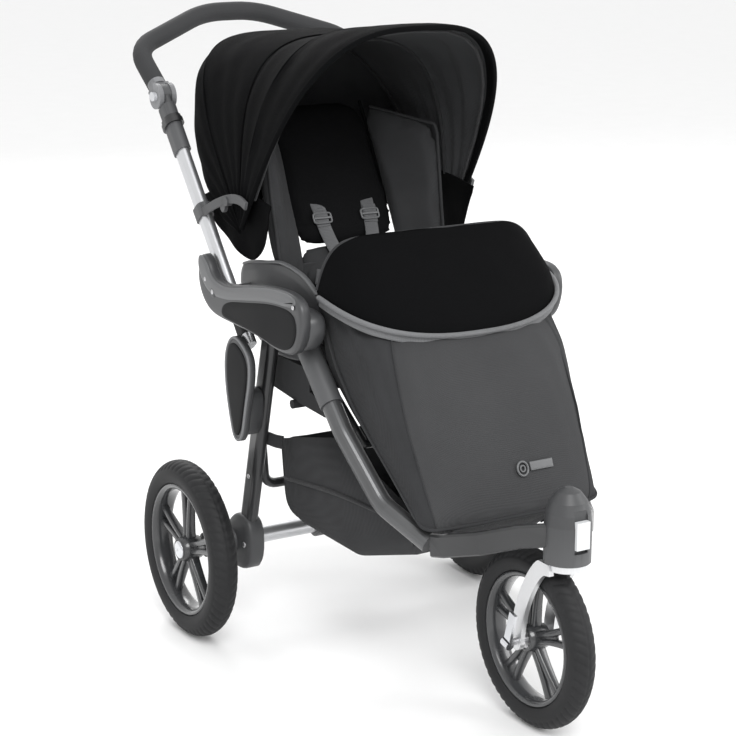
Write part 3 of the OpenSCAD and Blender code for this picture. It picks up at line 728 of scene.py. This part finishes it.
def pillow(name, corner, thick, mat, crown=0.0, n_u=30, n_v=40, square=4.0, channels=(), depth=3.0):
    """A stuffed pad. corner(u, v) gives its middle surface for u and v from -1 to 1, in millimetres."""
    def middle(u, v):
        # pulls the square's corners in, so that the pad's outline is rounded
        k = (abs(u) ** square + abs(v) ** square) ** (1 / square)
        m = max(abs(u), abs(v))
        s = m / k if k > 1e-9 else 1
        return Vector(corner(u * s, v * s))

    def normal(u, v):
        h = 0.02
        a = middle(min(1, u + h), v) - middle(max(-1, u - h), v)
        b = middle(u, min(1, v + h)) - middle(u, max(-1, v - h))
        n = a.cross(b)
        return n.normalized() if n.length > 1e-9 else Vector((0, 0, 1))
    rings = []
    for j in range(n_v + 1):
        v = -1 + 2 * j / n_v
        front, back = [], []
        for i in range(n_u + 1):
            u = -1 + 2 * i / n_u
            p, n = middle(u, v), normal(u, v)
            full = ((1 - abs(u) ** 3.4) * (1 - abs(v) ** 5)) ** 0.5
            t = thick / 2 * max(0.16, full)
            groove = sum(depth * exp(-((c - (u if axis == "u" else v)) / 0.035) ** 2) for axis, c in channels)
            w = wobble(p / 1000, 16, 1.1, 2.0) * full
            front.append(at(*(p + n * (t + crown * full - groove * full + w))))
            back.append(at(*(p - n * t)))
        rings.append(front + back[::-1])
    return rings_mesh(name, rings, mat)


def puff(ob, voxel=0.006, pressure=3.0, cap=0.006):
    """Inflates a pad with Blender's cloth, each point moving no further than the cap."""
    mats = list(ob.data.materials)
    modify(ob, "REMESH", mode="VOXEL", voxel_size=voxel, use_smooth_shade=True)
    settle(ob)
    start = [v.co.copy() for v in ob.data.vertices]
    mod = ob.modifiers.new("cloth", "CLOTH")
    mod.settings.use_pressure = True
    mod.settings.uniform_pressure_force = pressure
    mod.settings.effector_weights.gravity = 0
    mod.settings.quality = 4
    mod.point_cache.frame_start, mod.point_cache.frame_end = 1, 14
    for f in range(1, 15):
        scene.frame_set(f)
    dg = bpy.context.evaluated_depsgraph_get()
    moved = [v.co.copy() for v in ob.evaluated_get(dg).data.vertices]
    ob.modifiers.clear()
    scene.frame_set(1)
    for v, a, b in zip(ob.data.vertices, start, moved):
        d = b - a
        v.co = a + (d * (cap / d.length) if d.length > cap else d)
    ob.data.materials.clear()
    for m in mats:
        ob.data.materials.append(m)
    set_faces(ob.data, "material_index", 0)
    modify(ob, "SMOOTH", factor=0.5, iterations=3)
    settle(ob)
    set_faces(ob.data, "use_smooth", True)
    return ob


def ribbon(name, path, width, thick, mat, across=(1, 0, 0), count=None):
    """A flat strap along a path, lying across the given direction."""
    pts = curve_points([at(*p) for p in path], count or len(path) * 8)
    half = [(-1, 0.4), (-0.96, 1), (-0.5, 1), (0, 1), (0.5, 1), (0.96, 1), (1, 0.4)]
    section = [(a, -b) for a, b in half] + half[::-1]
    w, h = width / 2000, thick / 2000
    rings = []
    for i, p in enumerate(pts):
        t = (pts[min(i + 1, len(pts) - 1)] - pts[max(i - 1, 0)]).normalized()
        u = Vector(across)
        u = (u - t * u.dot(t)).normalized()
        n = t.cross(u)
        rings.append([p + u * (w * a) + n * (h * b) for a, b in section])
    return rings_mesh(name, rings, mat)


def frame_loop(name, centre, size, bar, mat, x_axis, y_axis):
    """A small rounded rectangular buckle frame."""
    c, ux, uy = at(*centre), Vector(x_axis).normalized(), Vector(y_axis).normalized()
    pts = []
    for a in turns(40):
        pts.append(c + ux * (size[0] / 2000 * signed(cos(a), 0.4)) + uy * (size[1] / 2000 * signed(sin(a), 0.4)))
    rings = []
    n = ux.cross(uy)
    for i, p in enumerate(pts):
        v = (pts[(i + 1) % 40] - pts[i - 1]).normalized().cross(n)
        rings.append([p + n * (bar / 2000 * cos(a)) + v * (bar / 2000 * sin(a)) for a in turns(10)])
    return rings_mesh(name, rings, mat, closed=True)


def rounded_box(name, centre, size, mat, axes=None, bevel=2.0, segments=3):
    """A small moulded block with rounded edges."""
    ax = [Vector(a) for a in (axes or ((1, 0, 0), (0, 1, 0), (0, 0, 1)))]
    c = at(*centre)
    half = [s / 2000 for s in size]
    corners = [c + ax[0] * (half[0] * i) + ax[1] * (half[1] * j) + ax[2] * (half[2] * k)
               for i in (-1, 1) for j in (-1, 1) for k in (-1, 1)]
    faces = [(0, 1, 3, 2), (4, 6, 7, 5), (0, 4, 5, 1), (2, 3, 7, 6), (0, 2, 6, 4), (1, 5, 7, 3)]
    ob = new_mesh(name, corners, faces, mat)
    outward(ob)
    modify(ob, "BEVEL", width=bevel / 1000, segments=segments)
    settle(ob)
    set_faces(ob.data, "use_smooth", True)
    return ob


def soft(ob, body, *nodes, fill=0.6, slot=None):
    place(ob, body, *nodes, slot=slot)
    return ob


cushion = pillow("seat_cushion", lambda u, v: ((150 - 5 * max(0, -v) ** 2) * u, -221 + 106 * v, 541 - 3 * v), 32,
                 MAT["seat"], crown=2, channels=(("u", -0.4), ("u", 0.4)))
soft(puff(cushion), "chassis", "seat_pad", fill=0.6, slot="fabric_grey")
for k, sx in SIDES.items():
    def wing(u, v, sx=sx):
        t, s = (u + 1) / 2, (v + 1) / 2
        low = Vector((86, -74, 566)).lerp(Vector((150, -104, 568)), t)
        high = Vector((86, 74, 838)).lerp(Vector((158, -60, 812)), t)
        p = low.lerp(high, s)
        bow = sin(pi * t) * 6 + sin(pi * s) * 3
        return sx * (p.x + bow * 0.5), p.y + bow, p.z
    pad = puff(pillow(f"seat_wing_{k}", wing, 23, MAT["seat"], n_u=26, n_v=60, square=5.0), cap=0.004)
    edge_line = [wing(0.96, -0.9 + 1.75 * i / 30) for i in range(31)]
    edge_line += [wing(0.9 - 1.6 * i / 12, 0.97) for i in range(13)]
    for piece in (pad, tube(f"seat_wing_piping_{k}", edge_line, 2.6, MAT["seat"], sides=10, count=120)):
        place(piece, "chassis", "seat_pad", slot="fabric_grey")
        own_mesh(piece)

CURTAIN_TOP = [(-126, 716), (-60, 726), (20, 728), (102, 702)]
CURTAIN_FOOT = [(-118, 700), (-94, 640), (-50, 621), (4, 636), (58, 660), (104, 694)]
for k, sx in SIDES.items():
    rings = []
    for i in range(49):
        (y0, z0), (y1, z1) = path_2d(CURTAIN_TOP, i / 48), path_2d(CURTAIN_FOOT, i / 48)
        line = []
        for j in range(13):
            y, z = lerp(y0, y1, j / 12), lerp(z0, z1, j / 12)
            wave = 1.5 * sin(i * 0.45 + j * 0.2) * j / 12 + wobble(at(0, y, z), 25, 1.0, sx)
            line.append((sx * (185.5 + wave), y, z))
        rings.append([at(*q) for q in line] + [at(x - sx * 2, y, z) for x, y, z in reversed(line)])
    curtain = rings_mesh("hood_curtain_" + k, rings, MAT["hood"])
    place(curtain, "chassis", "seat_pad", slot="fabric_black")
    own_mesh(curtain)
strip = rounded_box("seat_rear_strip", (0, -61, 572), (314, 5, 70), MAT["seat"], bevel=2.2)
place(strip, "chassis", "seat_pad", slot="fabric_grey")
for k, sx in SIDES.items():
    line = [(sx * x, y, z) for x, y, z in ((160, -112, 334), (166, -98, 334), (172, -86, 336), (178, -76, 338))]
    strap = ribbon("basket_strap_" + k, line, 22, 2.0, MAT["dark_tape"], across=(0, 0, 1), count=24)
    place(strap, "chassis", "basket", slot="fabric_grey")
    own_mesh(strap)


# ---- a plain badge on the leg cover
def on_cover(x, t, off):
    angle = degrees(acos((x / (cover_half(t) + off)) ** (cover_power(t) / 2)))
    return cover_point(t, angle, -off)


for label, n, wide, high, r, sides in (("ring", 24, 9, 0.03, 1.7, 10), ("dot", 12, 4, 0.013, 1.3, 8)):
    loop = [on_cover(20 + wide * cos(a), 0.64 + high * sin(a), 1.6) for a in turns(n)]
    circle = tube("badge_" + label, loop, r, MAT["band"], sides=sides, closed=True, count=3 * n)
    place(circle, "chassis", "leg_cover", slot="fabric_grey")
tag = ribbon("badge_tag", [on_cover(33 + 5 * i, 0.635, 2.2) for i in range(9)], 13, 1.6, MAT["band"],
             across=(0, 0.4, 1), count=24)
place(tag, "chassis", "leg_cover", slot="fabric_grey")

upper = pillow("backrest_panel", lambda u, v: on_back((99 - 4 * (v + 1)) * u, 192 + 124 * v, -11), 20, MAT["panel"],
               crown=1.5,
               n_u=36, n_v=60, square=6.0, channels=(("v", 0.35),), depth=2.0)
soft(puff(upper, cap=0.004), "backrest", "backrest", fill=0.5, slot="fabric_black")
lower = pillow("backrest_lower", lambda u, v: on_back(91 * u, 36 + 36 * v, -10), 20, MAT["seat"], crown=2.0, n_u=36,
               n_v=26,
               square=5.0)
soft(puff(lower, cap=0.004), "backrest", "backrest", fill=0.5, slot="fabric_grey")
for k, sx in SIDES.items():
    line = [on_back(sx * (99 - 8 * i / 12), 8 + 304 * i / 12, -11) for i in range(13)]
    place(tube(f"backrest_piping_{k}", line, 3.0, MAT["panel"], sides=10, count=80), "backrest", "backrest",
          slot="fabric_black")

BACK_UP = Vector((0, sin(BACK_LEAN), cos(BACK_LEAN)))
BACK_OUT = Vector((0, -cos(BACK_LEAN), sin(BACK_LEAN)))
TURNED = Vector((1, 0, 0)), BACK_UP, BACK_OUT
for k, sx in SIDES.items():
    strap = [on_back(sx * x, s, off) for x, s, off in
             ((46, 141, -1), (46, 138, 2.6), (45, 124, 3.6), (43, 96, 4.0), (38, 68, 5.5), (31, 44, 8.0),
              (24, 28, 9.5))]
    turned_end = [on_back(sx * (46 - 2 * i / 6), 128 - 30 * i / 6, 5.6 + 0.8 * sin(i)) for i in range(7)]
    waist = [(sx * 86, -88, 590), (sx * 70, -99, 588), (sx * 45, -103, 590), (sx * 24, -104, 592)]
    for piece in (
            ribbon(f"harness_strap_{k}", strap, 24, 1.7, MAT["webbing"], count=60),
            ribbon(f"harness_fold_{k}", turned_end, 24, 1.6, MAT["webbing"], count=30),
            frame_loop(f"harness_slot_{k}", on_back(sx * 46, 141, 1.2), (32, 7), 3.0, MAT["dark_tape"], *TURNED[:2]),
            frame_loop(f"harness_adjuster_{k}", on_back(sx * 44, 112, 6.6), (32, 17), 3.4, MAT["band"], *TURNED[:2]),
            rounded_box(f"harness_adjuster_bar_{k}", on_back(sx * 44, 112, 7.6), (30, 4, 3), MAT["band"], TURNED, 1.0),
            ribbon(f"harness_waist_{k}", waist, 24, 1.7, MAT["webbing"], across=(0, 0.2, 1), count=36)):
        place(piece, "backrest", "harness", slot="webbing")
for piece in (
        rounded_box("harness_buckle", on_back(0, 24, 11), (46, 38, 9), MAT["bracket"], TURNED, 3.5, 4),
        rounded_box("harness_buckle_key", on_back(0, 24, 16), (20, 20, 3.0), MAT["band"], TURNED, 1.4, 3),
        ribbon("harness_crotch", [on_back(0, 6, 9), (0, -103, 574), (0, -110, 568)], 24, 1.7, MAT["webbing"],
               count=20)):
    place(piece, "backrest", "harness", slot="webbing")


# ---- wheels
def lathe(name, profile, centre, mat, steps=96, axis_sign=1):
    """Turns a closed profile of (radius, x) points round the wheel's axle."""
    c = at(*centre)
    rings = []
    for a in turns(steps):
        rings.append([c + Vector((axis_sign * x / 1000, r / 1000 * cos(a), r / 1000 * sin(a)))
                      for r, x in profile])
    return rings_mesh(name, rings, mat, closed=True)


def tyre(name, centre, radius, width):
    steps, n = 330, 46
    core = radius - width / 2
    c = at(*centre)
    blocks = round(tau * radius / 15.5)
    rings = []
    for a in turns(steps):
        ring = []
        for j in range(n + 1):
            phi = -128 + 256 * j / n
            r = width / 2 - 0.15
            lean = abs(phi) / 62
            if abs(phi) < 62:
                slot_at = (a / tau * blocks + lean * 0.9 + (0.5 if phi > 0 else 0)) % 1
                cut = min(1.0, max(0.0, 1 - abs(slot_at - 0.5) / 0.17)) ** 0.6
                r -= 1.7 * cut * min(1, max(0, (abs(phi) - 3) / 6))
                if abs(phi) < 4:
                    r -= 1.2 * (1 - abs(phi) / 4) ** 0.5
            if 60 <= abs(phi) < 70:
                r -= 0.9 * sin(radians((abs(phi) - 60) * 18))
            if 84 < abs(phi) < 92:
                r += 0.12
            p = radians(phi)
            rr = core + r * cos(p)
            ring.append(c + Vector((r * sin(p) / 1000, rr / 1000 * cos(a), rr / 1000 * sin(a))))
        low = radius - width * 0.80
        for x in (0.34 * width, 0.0, -0.34 * width):
            ring.append(c + Vector((x / 1000, low / 1000 * cos(a), low / 1000 * sin(a))))
        rings.append(ring)
    return rings_mesh(name, rings, MAT["rubber"], closed=True)


def blade_rings(start, end, size_a, size_b, bow, centre, turn, steps=16):
    """A spoke's rings: from one (radius, offset) to another, with (across, deep) sizes at each end."""
    c = at(*centre)
    rings = []
    for i in range(steps + 1):
        t = i / steps
        r, off = lerp(start[0], end[0], t), lerp(start[1], end[1], t) + bow * sin(pi * t)
        across, deep = lerp(size_a[0], size_b[0], t), lerp(size_a[1], size_b[1], t ** 0.7)
        ring = []
        for a in turns(16):
            x, side = deep / 2 * signed(cos(a), 0.6), off + across / 2 * signed(sin(a), 0.6)
            y, z = r * cos(turn) - side * sin(turn), r * sin(turn) + side * cos(turn)
            ring.append(c + Vector((x, y, z)) / 1000)
        rings.append(ring)
    return rings


def rim(name, centre, radius, width):
    rr = radius - width * 0.82 - 0.3
    h = width * 0.40
    half = [(rr - 10.5, h * 0.35), (rr - 9, h - 6), (rr - 7, h - 1.5), (rr - 3.5, h + 0.2), (rr, h),
            (rr + 0.2, h * 0.5)]
    hub = [(13.2, HUB_HALF), (17, HUB_HALF), (18.6, HUB_HALF - 1.6), (21, 8)]
    parts = [lathe(name + "_ring", half[::-1] + [(rr - 11, 0)] + [(r, -x) for r, x in half], centre, MAT["rim"],
                   steps=120),
             lathe(name + "_hub", [(r, -x) for r, x in hub] + [(22.5, 0)] + hub[::-1], centre, MAT["rim"], steps=64)]
    for s in range(5):
        turn = radians(90) + tau * s / 5
        for sign in (-1, 1):
            rings = blade_rings((17, sign * 5.5), (rr - 7, sign * 13.5), (8.5, 17), (11.5, 12), -sign * 2.0, centre,
                                turn)
            parts.append(rings_mesh(name + "_spoke", rings, MAT["rim"]))
        web = blade_rings((17, 0), (rr * 0.60, 0), (9, 11), (7, 5), 0, centre, turn, steps=10)
        parts.append(rings_mesh(name + "_web", web, MAT["rim"]))
    return join(name, parts)


HUB_HALF = 18
REAR_WHEEL, FRONT_WHEEL = (145, 45), (135, 42)  # radius and width
HUB_CAP = [(0.01, 4.6), (6, 4.5), (11, 3.9), (13.6, 2.8), (14.9, 1.4), (15, 0.2), (0.01, 0.2)]
CAP_SEAT = [(15.2, -0.6), (17.4, -0.6), (17.8, 0.6), (17.0, 1.6), (15.6, 1.6)]
for k, sx in SIDES.items():
    hub, outer = (sx * 275, 0, 145), (sx * 293, 0, 145)
    body = "rear_wheel_" + k
    place(tyre("tyre_rear_" + k, hub, *REAR_WHEEL), body, "rear_tyre_" + k, slot="tyre")
    place(rim("wheel_rear_" + k, hub, *REAR_WHEEL), body, "rear_rim_" + k, slot="rim")
    cap = lathe("cap_rear_" + k, HUB_CAP, outer, MAT["chrome"], steps=48, axis_sign=sx)
    place(cap, body, "hub_cap_" + k, slot="hub_cap")
    ring = lathe("cap_seat_" + k, CAP_SEAT, outer, MAT["bracket"], steps=48, axis_sign=sx)
    place(ring, body, slot="rim")
place(tyre("tyre_front", (0, -575, 135), *FRONT_WHEEL), "front_wheel", "front_tyre", slot="tyre")
place(rim("wheel_front", (0, -575, 135), *FRONT_WHEEL), "front_wheel", "front_rim", slot="rim")


# ---- frame mouldings
HOUSING = [(23, 626), (-1, 621), (-19, 592), (-65, 586), (-135, 601), (-215, 614), (-299, 614), (-313, 576),
           (-293, 526), (-245, 516),
           (-165, 528), (-85, 530), (-15, 532), (19, 552), (35, 586)]
BAND = [(25, 624), (1, 618), (-18, 590), (-65, 583), (-135, 598), (-215, 612), (-278, 613), (-296, 603), (-280, 592),
        (-215, 590),
        (-135, 577), (-65, 564), (-13, 564), (13, 580), (29, 602)]
INSET = [(-62, 562), (-135, 574), (-215, 588), (-284, 590), (-298, 566), (-284, 534), (-245, 522), (-165, 533),
         (-85, 535), (-50, 538)]
BLOCK = [(-201, 528), (-201, 580), (-245, 588), (-303, 588), (-311, 558), (-291, 530), (-245, 518)]
ARMREST = [(15, 552), (13, 602), (-25, 614), (-128, 628), (-192, 620), (-244, 596), (-254, 538), (-205, 480),
           (-45, 476)]
POD = [(-65, 506), (-91, 512), (-131, 488), (-133, 450), (-117, 400), (-103, 344), (-75, 338), (-59, 380), (-47, 430),
       (-47, 476)]

POD_FACE = [(-65, 496), (-89, 500), (-121, 480), (-123, 450), (-109, 400), (-97, 354), (-79, 348), (-67, 382),
            (-56, 430),
            (-56, 470)]
POD_ARM = [(-113, 426), (-111, 380), (-99, 350), (-81, 350), (-73, 380), (-71, 426)]
AXLE_SHELL = [(24, 166), (32, 138), (20, 108), (-20, 100), (-56, 112), (-66, 158), (-54, 196), (-10, 198)]
AXLE_HUB = [(13.9, -60), (21, -60), (22, -57), (22, -24), (17, -21), (17, 14), (20, 18), (20, 23), (12, 24), (6.2, 24),
            (6.2, -60)]
ARMREST_TOP = [(1, 604), (-27, 612), (-75, 619.5), (-128, 626.5), (-190, 618.5), (-236, 598)]
# name, outline, inner and outer x, look, body, node, slot, then edge width, dome, reach of the dome, back edge
PLATES = (
    ("arm_shell_", HOUSING, 218.6, 235.5, "housing", "chassis", "side_housing_{}", "housing", 6.0, 0.6, 8.0, 1.5),
    ("arm_band_", BAND, 232.0, 237.2, "band", "chassis", "side_housing_{}", "housing", 2.4, 1.0, 3.5, 0.3),
    ("arm_panel_", INSET, 233.5, 237.4, "panel_black", "chassis", "label_panels", "inset", 1.2, 0.6, 5.0, 0.3),
    ("arm_block_", BLOCK, 219.0, 189.5, "housing", "chassis", "side_housing_{}", "housing", 7.0, 1.5, 8.0, 1.5),
    ("armrest_shell_", ARMREST, 161.2, 171.2, "housing", "chassis", "armrest_{}", "housing", 6.0, 1.6, 9.0, 4.0),
    ("pod_shell_", POD, 217.6, 228.6, "bracket", "rear_frame", "leg_pod_{}", "bracket", 3.5, 0.4, 7.0, 1.5),
    ("pod_face_", POD_FACE, 227.2, 231.0, "panel_black", "rear_frame", "leg_pod_{}", "bracket", 1.2, 0.7, 4.5, 0.3),
    ("pod_arm_", POD_ARM, 194.2, 219.0, "bracket", "rear_frame", "leg_pod_{}", "bracket", 3.0, 0.5, 5.0, 1.5))
# name, body, slot, look, place, radius and height of the head
RIVETS = (
    ("arm_fold_cap_", "chassis", "bracket", "bracket", (235.0, -24, 570), 9.5, 0.25),
    ("arm_fold_rivet_", "chassis", "axle", "steel", (236.6, -24, 570), 4.2, 0.4),
    ("arm_screw_0_", "chassis", "axle", "steel", (236.6, -287, 596), 3.6, 0.4),
    ("arm_screw_1_", "chassis", "axle", "steel", (236.6, 1, 586), 3.6, 0.4),
    ("pod_screw_", "rear_frame", "axle", "steel", (229.6, -91, 366), 3.4, 0.4),
    ("axle_screw_", "rear_frame", "axle", "steel", (199.2, -46, 150), 5.0, 0.35),
    ("leg_screw_", "rear_frame", "axle", "steel", (194.0, -55, 268), 4.0, 0.4))

for k, sx in SIDES.items():
    for name, outline, x_in, x_out, look, body, node, slot, edge, dome, reach, back_edge in PLATES:
        plate = moulding(name + k, outline, x_in, x_out, sx, MAT[look], edge, dome, back_edge, reach)
        place(plate, body, node.format(k), slot=slot)
    for name, body, slot, look, (x, y, z), r, height in RIVETS:
        place(rivet(name + k, (sx * x, y, z), (sx, 0, 0), r, MAT[look], height), body, slot=slot)
    top_line = [(sx * 166, y, z) for y, z in ARMREST_TOP]
    trim = tube("armrest_trim_" + k, top_line, 4.6, MAT["band"], sides=12, flat=0.6, count=60)
    place(trim, "chassis", "armrest_" + k, slot="housing")
    rim_line = [(sx * 228.0, y, z) for y, z in inset(smooth_outline(POD, 2), 2.4)]
    pod_rim = tube("pod_rim_" + k, rim_line, 2.3, MAT["knuckle"], sides=10, closed=True, count=160)
    place(pod_rim, "rear_frame", "leg_pod_" + k, slot="bracket")
    shell = moulding("axle_shell_" + k, AXLE_SHELL, 169.2, 199.4, sx, MAT["bracket"], 6.0, 1.5, 4.0, 7.0)
    hub = lathe("axle_hub_" + k, AXLE_HUB, (sx * 225, 0, 145), MAT["bracket"], steps=48, axis_sign=sx)
    place(join("axle_shell_" + k, [shell, hub]), "rear_frame", "axle_bracket_" + k, slot="bracket")

# ---- finishes of the CAD pieces that stay
CAD_LOOKS = {
    "axle_tube": "silver", "canopy_hoops": "dark_tape", "crossbar": "dark_tube", "footrest_frame": "dark_tube", "fork": "fork",
    "front_axle": "steel", "front_bearings": "steel", "front_tube": "grey_tube", "handle_tube": "silver", "handlebar": "foam",
    "knuckle_head": "knuckle", "pivot_pins": "steel", "quick_release_lever": "chrome", "rear_axle": "steel",
    "rear_bearings": "steel", "rear_leg": "dark_tube", "release_collar": "inset", "seat_base": "basket",
    "stay_bar": "dark_tube", "swivel_lock": "latch", "tilt_button": "button", "tube_collars": "rubber",
}
for node_name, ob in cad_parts.items():
    stem = node_name.removesuffix("_left").removesuffix("_right")
    m = MAT[CAD_LOOKS.get(stem, "bracket")]
    ob.data.materials.clear()
    ob.data.materials.append(m)
    set_faces(ob.data, "material_index", 0)

# ---- studio
def area_light(name, where, target, size, power, color=(1, 1, 1)):
    data = bpy.data.lights.new(name, "AREA")
    data.shape, data.size, data.energy, data.color = "DISK", size, power, color
    ob = bpy.data.objects.new(name, data)
    ob.location = where
    ob.rotation_mode = "QUATERNION"
    ob.rotation_quaternion = (Vector(target) - Vector(where)).to_track_quat("-Z", "Y")
    scene.collection.objects.link(ob)


def studio():
    world = bpy.data.worlds.new("studio")
    scene.world = world
    world.use_nodes = True
    bg = world.node_tree.nodes["Background"]
    bg.inputs["Color"].default_value = (1, 1, 1, 1)
    bg.inputs["Strength"].default_value = 1.05
    floor = new_mesh("studio_floor", [(-14, -14, 0), (14, -14, 0), (14, 14, 0), (-14, 14, 0)], [(0, 1, 2, 3)],
                     material("floor_white", (0.86, 0.86, 0.86), 0.7, tint=0.01, spec=0.2), smooth=False)
    floor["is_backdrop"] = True
    area_light("key", (-1.2, -3.4, 3.6), (0, 0, 0.5), 2.6, 150)
    area_light("fill", (3.2, -2.2, 2.0), (0, 0, 0.5), 2.2, 60)
    area_light("back", (0.6, 3.2, 3.0), (0, 0, 0.6), 2.2, 70)
    scene.view_settings.view_transform = "Standard"


CAMERA_AT = Vector((-1.6002, -2.7911 + AXLE_Y, 1.2521))


def camera():
    data = bpy.data.cameras.new("camera")
    data.sensor_width, data.lens, data.shift_x = 36, 98.17, 0.0014
    data.clip_start, data.clip_end = 0.1, 60
    ob = bpy.data.objects.new("camera", data)
    right, ahead = Vector((0.8594, -0.5112, 0)), Vector((0.4945, 0.8315, -0.2534)).normalized()
    right = (right - ahead * right.dot(ahead)).normalized()
    up = right.cross(ahead)
    ob.matrix_world = Matrix.Translation(CAMERA_AT) @ Matrix((right, up, -ahead)).transposed().to_4x4()
    scene.collection.objects.link(ob)
    scene.camera = ob


studio()
camera()

bpy.context.view_layer.update()
low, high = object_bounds()
{"cad": [list(cad_low), list(cad_high)], "visual": [list(low), list(high)]}
